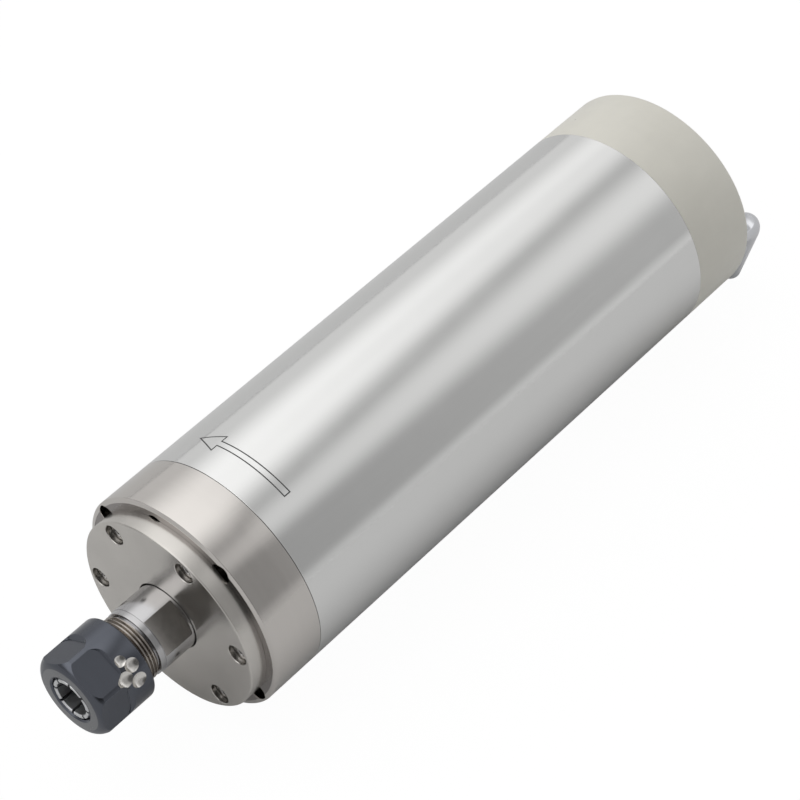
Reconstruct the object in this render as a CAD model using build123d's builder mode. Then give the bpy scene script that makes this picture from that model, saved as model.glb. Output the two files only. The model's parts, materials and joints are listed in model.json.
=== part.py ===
"""Water-cooled motor spindle with a 65 mm body and an ER16-size collet nose.

Millimetres. The spindle axis is Y, the nose points to -Y and +Z is up. The origin is on the
axis at the front end of the steel body tube, where the front housing meets it. Angles about the
axis are counted from +X towards +Z, which is counter-clockwise for someone facing the nose.
"""

import math
import os

from build123d import *

os.makedirs("parts", exist_ok=True)

# Fits: radial clearances
SEATED = 0.02  # pieces that are pressed, clamped or screwed together
RUNNING = 0.05  # rolling and screwing surfaces that move on each other

# Body tube and the housings that close it
BODY_R = 32.5
TUBE_WALL = 5.5
HOUSING_LENGTH = 16.4
HOUSING_CHAMFER_R = 1.2
HOUSING_CHAMFER_Y = 0.5
SEAM_CHAMFER = 0.12
SPIGOT_LENGTH = 14.5
SPIGOT_CAVITY_STEP = 0.5  # from the bearing bore out to the cavity behind it
SPIGOT_CAVITY_DEPTH = 4.0
REAR_HOUSING_LENGTH = 29.5
REAR_HOUSING_WALL = 7.5
WINDING_FRONT_SPACE = 5.6  # from the front housing's spigot to the end turns
WINDING_REAR_SPACE = 2.1  # from the end turns to the rear housing

# Front cover plate
COVER_SETBACK = 3.5  # from the body's outside in to the cover's edge
COVER_THICKNESS = 5.3
COVER_EDGE = 0.3
COVER_HOLE_CLEARANCE = 0.9
COVER_SPIGOT_WALL = 3.45
COVER_END_GAP = 0.05

# M3 socket-head screws
SCREW_R = 1.5
SCREW_HEAD_R = 2.75
SCREW_HEAD_HEIGHT = 3.0
SCREW_SOCKET = 2.5
SCREW_SOCKET_DEPTH = 1.6
SCREW_CLEARANCE = 0.2
TAP_RUNOUT = 2.0
COVER_COUNTERBORE_R = 3.0
HOUSING_COUNTERBORE_R = 2.85
COVER_SCREW_INSET = 4.0  # from the cover's edge in to the screw circle
COVER_SCREW_COUNT = 6
COVER_SCREW_ANGLE = 12.3
COVER_SCREW_SINK = 0.3
COVER_SCREW_LENGTH = 10.0
HOUSING_SCREW_INSET = 3.4  # from the body's outside in to the screw circle
HOUSING_SCREW_COUNT = 4
HOUSING_SCREW_ANGLE = 59.0
HOUSING_SCREW_SINK = 8.0
HOUSING_SCREW_LENGTH = 12.0
DOWEL_HOLE_R = 2.85
DOWEL_INSET = 5.5
DOWEL_ANGLE = 104.4
DOWEL_DEPTH = 9.0

# Spindle shaft
NOSE_THREAD_R = 9.5
NOSE_THREAD_LENGTH = 14.5
NOSE_THREAD_CHAMFER = 0.4
COLLAR_STEP = 0.1
COLLAR_LENGTH = 1.7
COLLAR_STAND_OUT = 11.8  # from the cover's face to the collar's front
NOSE_STEP = 0.25
WRENCH_WIDTH = 17.0
WRENCH_LENGTH = 12.2
WRENCH_ANGLE = 46.0
SLINGER_HEIGHT = 2.9
SLINGER_GAP = 0.4
TOOL_BORE_CLEARANCE = 0.3
TOOL_BORE_DEPTH = 21.5
ROTOR_SEAT_STEP = 0.3
SHAFT_TAIL = 2.0

# ER16-size collet
COLLET_LENGTH = 27.5
COLLET_BORE_R = 5.0
COLLET_FACE_R = 6.0
COLLET_HEAD_R = 8.5
COLLET_HEAD_LAND = 0.6
COLLET_GROOVE_R = 6.9
COLLET_GROOVE_WIDTH = 2.0
COLLET_FRONT_ANGLE = 30.0
COLLET_TAPER_ANGLE = 8.0
COLLET_TAPER_R = 8.44
COLLET_SLIT_COUNT = 8
COLLET_SLIT_WIDTH = 0.7
COLLET_SLIT_REMAINDER = 4.5
COLLET_BORE_CHAMFER = 0.25
COLLET_STAND_OUT = 0.6  # from the shaft's mouth to the collet's gauge shoulder

# Collet nut
NUT_R = 12.3
NUT_LENGTH = 17.5
NUT_FACE_R = 9.0
NUT_CROWN_LENGTH = 2.4
NUT_CROWN_R = 11.2
NUT_CROWN_DEPTH = 0.75
NUT_BACK_EDGE = 0.8
NUT_OPENING_R = 6.6
NUT_OPENING_CHAMFER = 0.4
NUT_OVERHANG = 0.25  # nut's front face ahead of the collet's
NUT_RING_R = 7.5
NUT_RING_CLEARANCE = 0.15
NUT_THREAD_CHAMFER = 0.5
NUT_ACROSS_FLATS = 21.9
NUT_FLAT_COUNT = 6
NUT_FLAT_LENGTH = 9.7
NUT_FLAT_WIDTH = 11.4
NUT_FLAT_CORNER = 2.6
NUT_FLAT_ANGLE = 64.5
DIMPLE_POINT_ANGLE = 118.0
DIMPLES = (  # balancing drill marks: angle, distance behind the nut's front face, radius
    (56.0, 11.8, 1.6),
    (44.0, 13.7, 1.95),
    (35.0, 10.2, 2.1),
    (23.0, 13.7, 2.0),
)

# Bearings: bore, outer radius, width, ring thicknesses, balls
FRONT_BEARING = {"bore": 8.5, "outer": 17.5, "width": 10.0, "ball": 2.38, "count": 11}
REAR_BEARING = {"bore": 7.5, "outer": 16.0, "width": 9.0, "ball": 2.38, "count": 10}
RING_THICKNESS_SHARE = 0.32
CAGE_WALL = 1.8
CAGE_SIDE = 1.0
POCKET_CLEARANCE = 0.12
BEARING_INSET = 2.8  # from the front housing's face to the first bearing
BEARING_SPACER = 2.0
BEARING_SHOULDER = 2.3
LOCKNUT_LENGTH = 4.5
LOCKNUT_WALL = 4.7
LOCKNUT_THREAD_STEP = 0.2
LOCKNUT_SLOT_WIDTH = 4.0
LOCKNUT_SLOT_DEPTH = 1.5
REAR_NUT_WALL = 3.2
REAR_NUT_LENGTH = 5.0
REAR_NUT_CLEARANCE = 1.5
REAR_BEARING_INSET = 3.0
SPRING_THICKNESS = 0.5
SPRING_HEIGHT = 2.6
SPRING_WIDTH = 2.5

# Motor
STACK_LENGTH = 78.0
AIR_GAP = 0.35
ROTOR_R = 13.0
SLOT_COUNT = 18
SLOT_OPENING = 1.6
SLOT_TIP = 0.9
STATOR_YOKE = 2.8
SLOT_INNER_WIDTH = 2.6
SLOT_OUTER_WIDTH = 4.6
SLOT_LINER = 0.2
END_TURN_LENGTH = 13.5
END_TURN_GAP = 0.4
END_TURN_CLEARANCE = 0.8
END_TURN_EDGE = 2.0
BAR_COUNT = 16
BAR_R = 1.1
BAR_INSET = 1.7
END_RING_LENGTH = 6.0
END_RING_WIDTH = 3.4
BALANCE_RING_LENGTH = 4.0
BALANCE_RING_INSET = 1.0

# Water jacket: channels along the body, with a way round each rib at one end
JACKET_GAP = 0.5
JACKET_WALL = 3.0
JACKET_LAND = 5.0
CHANNEL_DEPTH = 1.6
RIB_COUNT = 6
RIB_WIDTH = 3.0
RIB_GAP = 12.0
RIB_ROOT = 0.1
COOLANT_PORT_R = 1.85
COOLANT_PORT_INSET = 5.5
COOLANT_CROSS_DISTANCE = 6.0  # from the rear housing's front face to its radial drilling

# O-rings between the housings and the tube
O_RING_SECTION_R = 0.85
O_RING_GROOVE_WIDTH = 2.4
O_RING_GROOVE_DEPTH = 1.75
FRONT_O_RING_INSET = 6.5
REAR_O_RING_INSET = 9.5

# Rear cap
CAP_LENGTH = 22.7
CAP_WALL = 6.0
CAP_END_WALL = 5.0
CAP_EDGE = 1.5
CAP_SCREW_COUNT = 4
CAP_SCREW_ANGLE = 45.0
CAP_SCREW_SINK = 1.0
CAP_SCREW_LENGTH = 25.0

# Bent water pipes
PIPE_R = 4.0
PIPE_BORE_R = 2.5
PIPE_INSET = 7.5  # from the body's outside in to the pipes' centres
PIPE_ANGLE = -13.5
PIPE_TILT = 13.0
PIPE_STAND_OUT = 12.5
PIPE_BEND_R = 4.6
PIPE_ARM = 24.0
PIPE_SEAT_DEPTH = 5.0
PIPE_OFFSET_START = 5.0
PIPE_OFFSET_LENGTH = 5.0
PIPE_OFFSET_BEND_R = 4.0
PIPE_TIP_CHAMFER = 0.4
PIPE_NUT_WIDTH = 10.0
PIPE_NUT_LENGTH = 4.0
PIPE_HOLE_CLEARANCE = 0.05

# Round four-pin power connector
CONNECTOR_Z = -8.0
CONNECTOR_BARREL_R = 8.0
CONNECTOR_BARREL_LENGTH = 10.0
CONNECTOR_FLANGE_R = 10.5
CONNECTOR_FLANGE = 2.0
CONNECTOR_WALL = 1.4
CONNECTOR_RECESS = 7.0
CONNECTOR_HOLE_CLEARANCE = 0.1
CONNECTOR_NUT_WIDTH = 19.0
CONNECTOR_NUT_LENGTH = 3.0
CONNECTOR_KEY_WIDTH = 1.6
CONNECTOR_KEY_DEPTH = 0.6
PIN_COUNT = 4
PIN_R = 1.0
PIN_CIRCLE_R = 3.3
PIN_LENGTH = 5.5
PIN_TAIL = 4.0
LEAD_R = 0.8
LEAD_SPACING = 1.7
LEAD_HOLE_R = 3.6
LEAD_HOLE_INSET = 6.4
LEAD_LEVEL = 3.2
LEAD_BEND_R = 1.9
LEAD_ANGLE = 90.0

# Radii that follow from the sizes above
TUBE_INNER_R = BODY_R - TUBE_WALL
SPIGOT_R = TUBE_INNER_R - SEATED
GROOVE_FLOOR_R = SPIGOT_R - O_RING_GROOVE_DEPTH
STATOR_R = TUBE_INNER_R - JACKET_WALL
STATOR_BORE_R = ROTOR_R + AIR_GAP
SLOT_BOTTOM_R = STATOR_R - STATOR_YOKE
END_TURN_R = STATOR_R - END_TURN_CLEARANCE
COVER_R = BODY_R - COVER_SETBACK
COVER_SCREW_CIRCLE_R = COVER_R - COVER_SCREW_INSET
HOUSING_SCREW_CIRCLE_R = BODY_R - HOUSING_SCREW_INSET
DOWEL_CIRCLE_R = BODY_R - DOWEL_INSET
COLLAR_R = NOSE_THREAD_R + COLLAR_STEP
NOSE_R = NOSE_THREAD_R + NOSE_STEP
COVER_HOLE_R = NOSE_R + COVER_HOLE_CLEARANCE
ROTOR_SEAT_R = FRONT_BEARING["bore"] - ROTOR_SEAT_STEP
LOCKNUT_THREAD_R = FRONT_BEARING["bore"] - LOCKNUT_THREAD_STEP
REAR_THREAD_R = REAR_BEARING["bore"] - LOCKNUT_THREAD_STEP
REAR_NUT_R = REAR_THREAD_R + REAR_NUT_WALL
BAR_CIRCLE_R = ROTOR_R - BAR_INSET
PIPE_CIRCLE_R = BODY_R - PIPE_INSET
COOLANT_PORT_CIRCLE_R = TUBE_INNER_R - COOLANT_PORT_INSET
LEAD_HOLE_CIRCLE_R = TUBE_INNER_R - LEAD_HOLE_INSET

# Places along the axis that follow from the sizes above
HOUSING_FACE_Y = -HOUSING_LENGTH
COVER_FACE_Y = HOUSING_FACE_Y - COVER_THICKNESS
SLINGER_Y = HOUSING_FACE_Y + SLINGER_GAP
BEARING_1_Y = HOUSING_FACE_Y + BEARING_INSET
BEARING_SPACER_Y = BEARING_1_Y + FRONT_BEARING["width"]
BEARING_2_Y = BEARING_SPACER_Y + BEARING_SPACER
LOCKNUT_Y = BEARING_2_Y + FRONT_BEARING["width"]
COLLAR_FRONT_Y = COVER_FACE_Y - COLLAR_STAND_OUT
THREAD_END_Y = COLLAR_FRONT_Y - NOSE_THREAD_LENGTH
COLLET_SHOULDER_Y = THREAD_END_Y - COLLET_STAND_OUT
COLLET_GROOVE_Y = COLLET_SHOULDER_Y - COLLET_GROOVE_WIDTH
COLLET_HEAD_Y = COLLET_GROOVE_Y - COLLET_HEAD_LAND
COLLET_CONE = (COLLET_HEAD_R - COLLET_FACE_R) / math.tan(math.radians(COLLET_FRONT_ANGLE))
COLLET_FACE_Y = COLLET_HEAD_Y - COLLET_CONE
COLLET_BACK_Y = COLLET_FACE_Y + COLLET_LENGTH
NUT_FACE_Y = COLLET_FACE_Y - NUT_OVERHANG
NUT_BACK_Y = NUT_FACE_Y + NUT_LENGTH
STACK_START = SPIGOT_LENGTH + WINDING_FRONT_SPACE + END_TURN_LENGTH + END_TURN_GAP
STACK_END = STACK_START + STACK_LENGTH
REAR_HOUSING_Y = STACK_END + END_TURN_GAP + END_TURN_LENGTH + WINDING_REAR_SPACE
REAR_BEARING_Y = REAR_HOUSING_Y + REAR_BEARING_INSET
REAR_NUT_Y = REAR_BEARING_Y + REAR_BEARING["width"]
TUBE_END_Y = REAR_HOUSING_Y + REAR_HOUSING_LENGTH
CAP_END_Y = TUBE_END_Y + CAP_LENGTH
FRONT_O_RING_Y = FRONT_O_RING_INSET
REAR_O_RING_Y = TUBE_END_Y - REAR_O_RING_INSET
HOUSING_SCREW_HEAD_Y = HOUSING_FACE_Y + HOUSING_SCREW_SINK
HOUSING_SCREW_TIP_Y = HOUSING_SCREW_HEAD_Y + SCREW_HEAD_HEIGHT + HOUSING_SCREW_LENGTH
COVER_SCREW_HEAD_Y = COVER_FACE_Y + COVER_SCREW_SINK
COVER_SCREW_TIP_Y = COVER_SCREW_HEAD_Y + SCREW_HEAD_HEIGHT + COVER_SCREW_LENGTH
CAP_SCREW_HEAD_Y = CAP_END_Y - CAP_SCREW_SINK
CAP_SCREW_TIP_Y = CAP_SCREW_HEAD_Y - SCREW_HEAD_HEIGHT - CAP_SCREW_LENGTH
JACKET_START = SPIGOT_LENGTH + JACKET_GAP
JACKET_END = REAR_HOUSING_Y - SEATED
PIPE_ANGLES = (PIPE_ANGLE, 180.0 - PIPE_ANGLE)


def at(y):
    """The plane across the spindle axis at y. It faces the nose, its x is +X and its y is +Z."""
    return Plane.XZ.offset(-y)


def outline(*points):
    """The face inside a closed (radius, y) outline, to be revolved about the spindle axis."""
    with BuildSketch() as section:
        with BuildLine():
            Polyline(*points, close=True)
        make_face()
    return section.sketch


def polar(radius, angle, y):
    """The point at a radius and an angle about the spindle axis."""
    turn = math.radians(angle)
    return (radius * math.cos(turn), y, radius * math.sin(turn))


def taper_r(y):
    """The collet's radius on its long taper."""
    return COLLET_TAPER_R - (y - COLLET_SHOULDER_Y) * math.tan(math.radians(COLLET_TAPER_ANGLE))


def save(piece, name):
    """Label a finished piece and write its STEP file."""
    piece.part.label = name
    export_step(piece.part, f"parts/{name}.step")


def screws(face_y, into, circle_r, count, first_angle, length):
    """Socket-head screws on a circle. into is +1 where they point to the rear, -1 to the front."""
    head_y = face_y + into * SCREW_HEAD_HEIGHT
    with BuildPart() as group:
        with BuildSketch(at(face_y)):
            with PolarLocations(circle_r, count, first_angle):
                Circle(SCREW_HEAD_R)
        extrude(amount=-into * SCREW_HEAD_HEIGHT)
        with BuildSketch(at(head_y)):
            with PolarLocations(circle_r, count, first_angle):
                Circle(SCREW_R)
        extrude(amount=-into * length)
        with BuildSketch(at(face_y)):
            with PolarLocations(circle_r, count, first_angle):
                RegularPolygon(SCREW_SOCKET / 2, 6, major_radius=False)
        extrude(amount=-into * SCREW_SOCKET_DEPTH, mode=Mode.SUBTRACT)
    return group


def cut_round_holes(face_y, into, radius, circle_r, count, first_angle, depth):
    """Round holes on a circle, from a face into the part that is being built."""
    with BuildSketch(at(face_y)) as holes:
        with PolarLocations(circle_r, count, first_angle):
            Circle(radius)
    extrude(holes.sketch, amount=-into * depth, mode=Mode.SUBTRACT)


def cut_screw_holes(face_y, into, counterbore_r, circle_r, count, first_angle, sink, depth):
    """Counterbored clearance holes for a circle of screws."""
    bore_depth = sink + SCREW_HEAD_HEIGHT
    cut_round_holes(face_y, into, counterbore_r, circle_r, count, first_angle, bore_depth)
    shank_hole_r = SCREW_R + SCREW_CLEARANCE
    cut_round_holes(face_y, into, shank_hole_r, circle_r, count, first_angle, depth)


def cut_tapped_holes(face_y, into, circle_r, count, first_angle, depth):
    """Tapped holes at the screws' own radius."""
    cut_round_holes(face_y, into, SCREW_R + SEATED, circle_r, count, first_angle, depth)


# Body tube
with BuildPart() as body_tube:
    revolve(
        outline(
            (TUBE_INNER_R, 0),
            (BODY_R - SEAM_CHAMFER, 0),
            (BODY_R, SEAM_CHAMFER),
            (BODY_R, TUBE_END_Y),
            (TUBE_INNER_R, TUBE_END_Y),
        ),
        axis=Axis.Y,
    )
    cut_tapped_holes(
        0,
        1,
        HOUSING_SCREW_CIRCLE_R,
        HOUSING_SCREW_COUNT,
        HOUSING_SCREW_ANGLE,
        HOUSING_SCREW_TIP_Y + TAP_RUNOUT,
    )
    cut_tapped_holes(
        TUBE_END_Y,
        -1,
        HOUSING_SCREW_CIRCLE_R,
        CAP_SCREW_COUNT,
        CAP_SCREW_ANGLE,
        TUBE_END_Y - CAP_SCREW_TIP_Y + TAP_RUNOUT,
    )
save(body_tube, "body_tube")

# Front bearing housing
with BuildPart() as front_housing:
    bearing_bore_r = FRONT_BEARING["outer"] + SEATED
    bearing_shoulder_r = FRONT_BEARING["outer"] - BEARING_SHOULDER
    cavity_r = bearing_bore_r + SPIGOT_CAVITY_STEP
    bearing_stop_y = LOCKNUT_Y + COVER_END_GAP
    revolve(
        outline(
            (bearing_bore_r, HOUSING_FACE_Y),
            (BODY_R - HOUSING_CHAMFER_R, HOUSING_FACE_Y),
            (BODY_R, HOUSING_FACE_Y + HOUSING_CHAMFER_Y),
            (BODY_R, -SEAM_CHAMFER),
            (BODY_R - SEAM_CHAMFER, 0),
            (SPIGOT_R, 0),
            (SPIGOT_R, SPIGOT_LENGTH),
            (cavity_r, SPIGOT_LENGTH),
            (cavity_r, SPIGOT_LENGTH - SPIGOT_CAVITY_DEPTH),
            (bearing_shoulder_r, SPIGOT_LENGTH - SPIGOT_CAVITY_DEPTH),
            (bearing_shoulder_r, bearing_stop_y),
            (bearing_bore_r, bearing_stop_y),
        ),
        axis=Axis.Y,
    )
    revolve(
        outline(
            (GROOVE_FLOOR_R, FRONT_O_RING_Y - O_RING_GROOVE_WIDTH / 2),
            (BODY_R, FRONT_O_RING_Y - O_RING_GROOVE_WIDTH / 2),
            (BODY_R, FRONT_O_RING_Y + O_RING_GROOVE_WIDTH / 2),
            (GROOVE_FLOOR_R, FRONT_O_RING_Y + O_RING_GROOVE_WIDTH / 2),
        ),
        axis=Axis.Y,
        mode=Mode.SUBTRACT,
    )
    cut_screw_holes(
        HOUSING_FACE_Y,
        1,
        HOUSING_COUNTERBORE_R,
        HOUSING_SCREW_CIRCLE_R,
        HOUSING_SCREW_COUNT,
        HOUSING_SCREW_ANGLE,
        HOUSING_SCREW_SINK,
        HOUSING_LENGTH,
    )
    cut_tapped_holes(
        HOUSING_FACE_Y,
        1,
        COVER_SCREW_CIRCLE_R,
        COVER_SCREW_COUNT,
        COVER_SCREW_ANGLE,
        COVER_SCREW_TIP_Y - HOUSING_FACE_Y + TAP_RUNOUT,
    )
    cut_round_holes(HOUSING_FACE_Y, 1, DOWEL_HOLE_R, DOWEL_CIRCLE_R, 1, DOWEL_ANGLE, DOWEL_DEPTH)
save(front_housing, "front_housing")

housing_screws = screws(
    HOUSING_SCREW_HEAD_Y,
    1,
    HOUSING_SCREW_CIRCLE_R,
    HOUSING_SCREW_COUNT,
    HOUSING_SCREW_ANGLE,
    HOUSING_SCREW_LENGTH,
)
save(housing_screws, "housing_screws")

# Front cover plate, with a spigot that holds the bearings' outer rings
with BuildPart() as front_cover:
    cover_spigot_r = FRONT_BEARING["outer"] - RUNNING
    cover_spigot_inner_r = cover_spigot_r - COVER_SPIGOT_WALL
    cover_spigot_y = BEARING_1_Y - COVER_END_GAP
    revolve(
        outline(
            (COVER_HOLE_R + COVER_EDGE, COVER_FACE_Y),
            (COVER_R - COVER_EDGE, COVER_FACE_Y),
            (COVER_R, COVER_FACE_Y + COVER_EDGE),
            (COVER_R, HOUSING_FACE_Y),
            (cover_spigot_r, HOUSING_FACE_Y),
            (cover_spigot_r, cover_spigot_y),
            (cover_spigot_inner_r, cover_spigot_y),
            (cover_spigot_inner_r, HOUSING_FACE_Y),
            (COVER_HOLE_R, HOUSING_FACE_Y),
            (COVER_HOLE_R, COVER_FACE_Y + COVER_EDGE),
        ),
        axis=Axis.Y,
    )
    cut_screw_holes(
        COVER_FACE_Y,
        1,
        COVER_COUNTERBORE_R,
        COVER_SCREW_CIRCLE_R,
        COVER_SCREW_COUNT,
        COVER_SCREW_ANGLE,
        COVER_SCREW_SINK,
        COVER_THICKNESS,
    )
save(front_cover, "front_cover")

cover_screws = screws(
    COVER_SCREW_HEAD_Y,
    1,
    COVER_SCREW_CIRCLE_R,
    COVER_SCREW_COUNT,
    COVER_SCREW_ANGLE,
    COVER_SCREW_LENGTH,
)
save(cover_screws, "cover_screws")

# Spindle shaft
with BuildPart() as shaft:
    shaft_end_y = REAR_NUT_Y + REAR_NUT_LENGTH + SHAFT_TAIL
    slinger_r = FRONT_BEARING["bore"] + SLINGER_HEIGHT
    mouth_r = taper_r(THREAD_END_Y) + SEATED
    socket_back_y = COLLET_BACK_Y + COLLET_STAND_OUT
    socket_back_r = taper_r(socket_back_y) + SEATED
    tool_bore_r = COLLET_BORE_R + TOOL_BORE_CLEARANCE
    tool_bore_end_y = COLLET_BACK_Y + TOOL_BORE_DEPTH
    revolve(
        outline(
            (mouth_r, THREAD_END_Y),
            (NOSE_THREAD_R - NOSE_THREAD_CHAMFER, THREAD_END_Y),
            (NOSE_THREAD_R, THREAD_END_Y + NOSE_THREAD_CHAMFER),
            (NOSE_THREAD_R, COLLAR_FRONT_Y),
            (COLLAR_R, COLLAR_FRONT_Y),
            (COLLAR_R, COLLAR_FRONT_Y + COLLAR_LENGTH),
            (NOSE_R, COLLAR_FRONT_Y + COLLAR_LENGTH),
            (NOSE_R, SLINGER_Y),
            (slinger_r, SLINGER_Y),
            (slinger_r, BEARING_1_Y),
            (FRONT_BEARING["bore"], BEARING_1_Y),
            (FRONT_BEARING["bore"], LOCKNUT_Y),
            (LOCKNUT_THREAD_R, LOCKNUT_Y),
            (LOCKNUT_THREAD_R, LOCKNUT_Y + LOCKNUT_LENGTH),
            (ROTOR_SEAT_R, LOCKNUT_Y + LOCKNUT_LENGTH),
            (ROTOR_SEAT_R, REAR_BEARING_Y),
            (REAR_BEARING["bore"], REAR_BEARING_Y),
            (REAR_BEARING["bore"], REAR_NUT_Y),
            (REAR_THREAD_R, REAR_NUT_Y),
            (REAR_THREAD_R, shaft_end_y),
            (0, shaft_end_y),
            (0, tool_bore_end_y + tool_bore_r),
            (tool_bore_r, tool_bore_end_y),
            (tool_bore_r, socket_back_y),
            (socket_back_r, socket_back_y),
        ),
        axis=Axis.Y,
    )
    with BuildSketch(at(COLLAR_FRONT_Y + COLLAR_LENGTH)):
        Circle(NOSE_R + RUNNING)
        Rectangle(WRENCH_WIDTH, 3 * NOSE_R, rotation=WRENCH_ANGLE, mode=Mode.SUBTRACT)
    extrude(amount=-WRENCH_LENGTH, mode=Mode.SUBTRACT)
save(shaft, "shaft")

# Collet, slit from both ends in turn
with BuildPart() as collet:
    revolve(
        outline(
            (COLLET_BORE_R + COLLET_BORE_CHAMFER, COLLET_FACE_Y),
            (COLLET_FACE_R, COLLET_FACE_Y),
            (COLLET_HEAD_R, COLLET_HEAD_Y),
            (COLLET_HEAD_R, COLLET_GROOVE_Y),
            (COLLET_GROOVE_R, COLLET_GROOVE_Y),
            (COLLET_GROOVE_R, COLLET_SHOULDER_Y),
            (COLLET_TAPER_R, COLLET_SHOULDER_Y),
            (taper_r(COLLET_BACK_Y), COLLET_BACK_Y),
            (COLLET_BORE_R, COLLET_BACK_Y),
            (COLLET_BORE_R, COLLET_FACE_Y + COLLET_BORE_CHAMFER),
        ),
        axis=Axis.Y,
    )
    slit_length = COLLET_LENGTH - COLLET_SLIT_REMAINDER
    slit_step = 360 / COLLET_SLIT_COUNT
    for end_y, into, first_angle in (
        (COLLET_FACE_Y, 1, 0.0),
        (COLLET_BACK_Y, -1, slit_step / 2),
    ):
        with BuildSketch(at(end_y)):
            with PolarLocations(COLLET_HEAD_R / 2 + 1, COLLET_SLIT_COUNT, first_angle):
                Rectangle(COLLET_HEAD_R, COLLET_SLIT_WIDTH)
        extrude(amount=-into * slit_length, mode=Mode.SUBTRACT)
save(collet, "collet")

# Collet nut
with BuildPart() as collet_nut:
    thread_bore_r = NOSE_THREAD_R + RUNNING
    ring_front_y = COLLET_GROOVE_Y + NUT_RING_CLEARANCE
    ring_back_y = COLLET_SHOULDER_Y - NUT_RING_CLEARANCE
    front_slope = math.tan(math.radians(COLLET_FRONT_ANGLE))
    seat_front_y = COLLET_FACE_Y + (NUT_OPENING_R - RUNNING - COLLET_FACE_R) / front_slope
    with BuildSketch():
        with BuildLine():
            Polyline(
                (NUT_FACE_R, NUT_FACE_Y),
                (NUT_OPENING_R + NUT_OPENING_CHAMFER, NUT_FACE_Y),
                (NUT_OPENING_R, NUT_FACE_Y + NUT_OPENING_CHAMFER),
                (NUT_OPENING_R, seat_front_y),
                (COLLET_HEAD_R + RUNNING, COLLET_HEAD_Y),
                (COLLET_HEAD_R + RUNNING, ring_front_y),
                (NUT_RING_R, ring_front_y),
                (NUT_RING_R, ring_back_y),
                (thread_bore_r, ring_back_y),
                (thread_bore_r, NUT_BACK_Y - NUT_THREAD_CHAMFER),
                (thread_bore_r + NUT_THREAD_CHAMFER, NUT_BACK_Y),
                (NUT_R - NUT_BACK_EDGE, NUT_BACK_Y),
            )
            RadiusArc(
                (NUT_R - NUT_BACK_EDGE, NUT_BACK_Y), (NUT_R, NUT_BACK_Y - NUT_BACK_EDGE), NUT_BACK_EDGE
            )
            Line((NUT_R, NUT_BACK_Y - NUT_BACK_EDGE), (NUT_R, NUT_FACE_Y + NUT_CROWN_LENGTH))
            ThreePointArc(
                (NUT_R, NUT_FACE_Y + NUT_CROWN_LENGTH),
                (NUT_CROWN_R, NUT_FACE_Y + NUT_CROWN_DEPTH),
                (NUT_FACE_R, NUT_FACE_Y),
            )
        make_face()
    revolve(axis=Axis.Y)
    for index in range(NUT_FLAT_COUNT):
        flat_angle = NUT_FLAT_ANGLE + index * 360 / NUT_FLAT_COUNT
        flat_plane = Plane(
            origin=polar(NUT_ACROSS_FLATS / 2, flat_angle, NUT_FACE_Y),
            x_dir=(0, 1, 0),
            z_dir=polar(1, flat_angle, 0),
        )
        with BuildSketch(flat_plane):
            RectangleRounded(2 * NUT_FLAT_LENGTH, NUT_FLAT_WIDTH, NUT_FLAT_CORNER)
        extrude(amount=NUT_R, mode=Mode.SUBTRACT)
    for angle, behind, radius in DIMPLES:
        point_depth = radius / math.tan(math.radians(DIMPLE_POINT_ANGLE / 2))
        surface = polar(NUT_R, angle, NUT_FACE_Y + behind)
        with Locations(Plane(origin=surface, z_dir=polar(1, angle, 0))):
            Cone(0, radius, point_depth, align=(Align.CENTER, Align.CENTER, Align.MAX), mode=Mode.SUBTRACT)
save(collet_nut, "collet_nut")


# Bearings
def bearing(sizes, front_y, name):
    """An angular-contact ball bearing: its rings, cage and balls, each written as a node."""
    bore_r = sizes["bore"]
    outer_r = sizes["outer"]
    ball_r = sizes["ball"]
    mid_y = front_y + sizes["width"] / 2
    back_y = front_y + sizes["width"]
    pitch_r = (bore_r + outer_r) / 2
    ring = (outer_r - bore_r) * RING_THICKNESS_SHARE
    angles = [index * 360 / sizes["count"] for index in range(sizes["count"])]
    with BuildSketch() as race:
        with Locations((pitch_r, mid_y)):
            Circle(ball_r + RUNNING)
    with BuildPart() as inner_ring:
        revolve(
            outline(
                (bore_r + SEATED, front_y),
                (bore_r + ring, front_y),
                (bore_r + ring, back_y),
                (bore_r + SEATED, back_y),
            ),
            axis=Axis.Y,
        )
        revolve(race.sketch, axis=Axis.Y, mode=Mode.SUBTRACT)
    save(inner_ring, f"{name}_inner_ring")
    with BuildPart() as outer_ring:
        revolve(
            outline(
                (outer_r - ring, front_y),
                (outer_r, front_y),
                (outer_r, back_y),
                (outer_r - ring, back_y),
            ),
            axis=Axis.Y,
        )
        revolve(race.sketch, axis=Axis.Y, mode=Mode.SUBTRACT)
    save(outer_ring, f"{name}_outer_ring")
    with BuildPart() as cage:
        half_width = ball_r + POCKET_CLEARANCE + CAGE_SIDE
        revolve(
            outline(
                (pitch_r - CAGE_WALL / 2, mid_y - half_width),
                (pitch_r + CAGE_WALL / 2, mid_y - half_width),
                (pitch_r + CAGE_WALL / 2, mid_y + half_width),
                (pitch_r - CAGE_WALL / 2, mid_y + half_width),
            ),
            axis=Axis.Y,
        )
        with Locations(
            *[
                Plane(origin=polar(pitch_r, angle, mid_y), z_dir=polar(1, angle, 0))
                for angle in angles
            ]
        ):
            Cylinder(ball_r + POCKET_CLEARANCE, 2 * CAGE_WALL, mode=Mode.SUBTRACT)
    save(cage, f"{name}_cage")
    with BuildPart() as balls:
        with Locations(*[polar(pitch_r, angle, mid_y) for angle in angles]):
            Sphere(ball_r)
    save(balls, f"{name}_balls")


bearing(FRONT_BEARING, BEARING_1_Y, "front_bearing_1")
bearing(FRONT_BEARING, BEARING_2_Y, "front_bearing_2")
bearing(REAR_BEARING, REAR_BEARING_Y, "rear_bearing")

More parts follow.
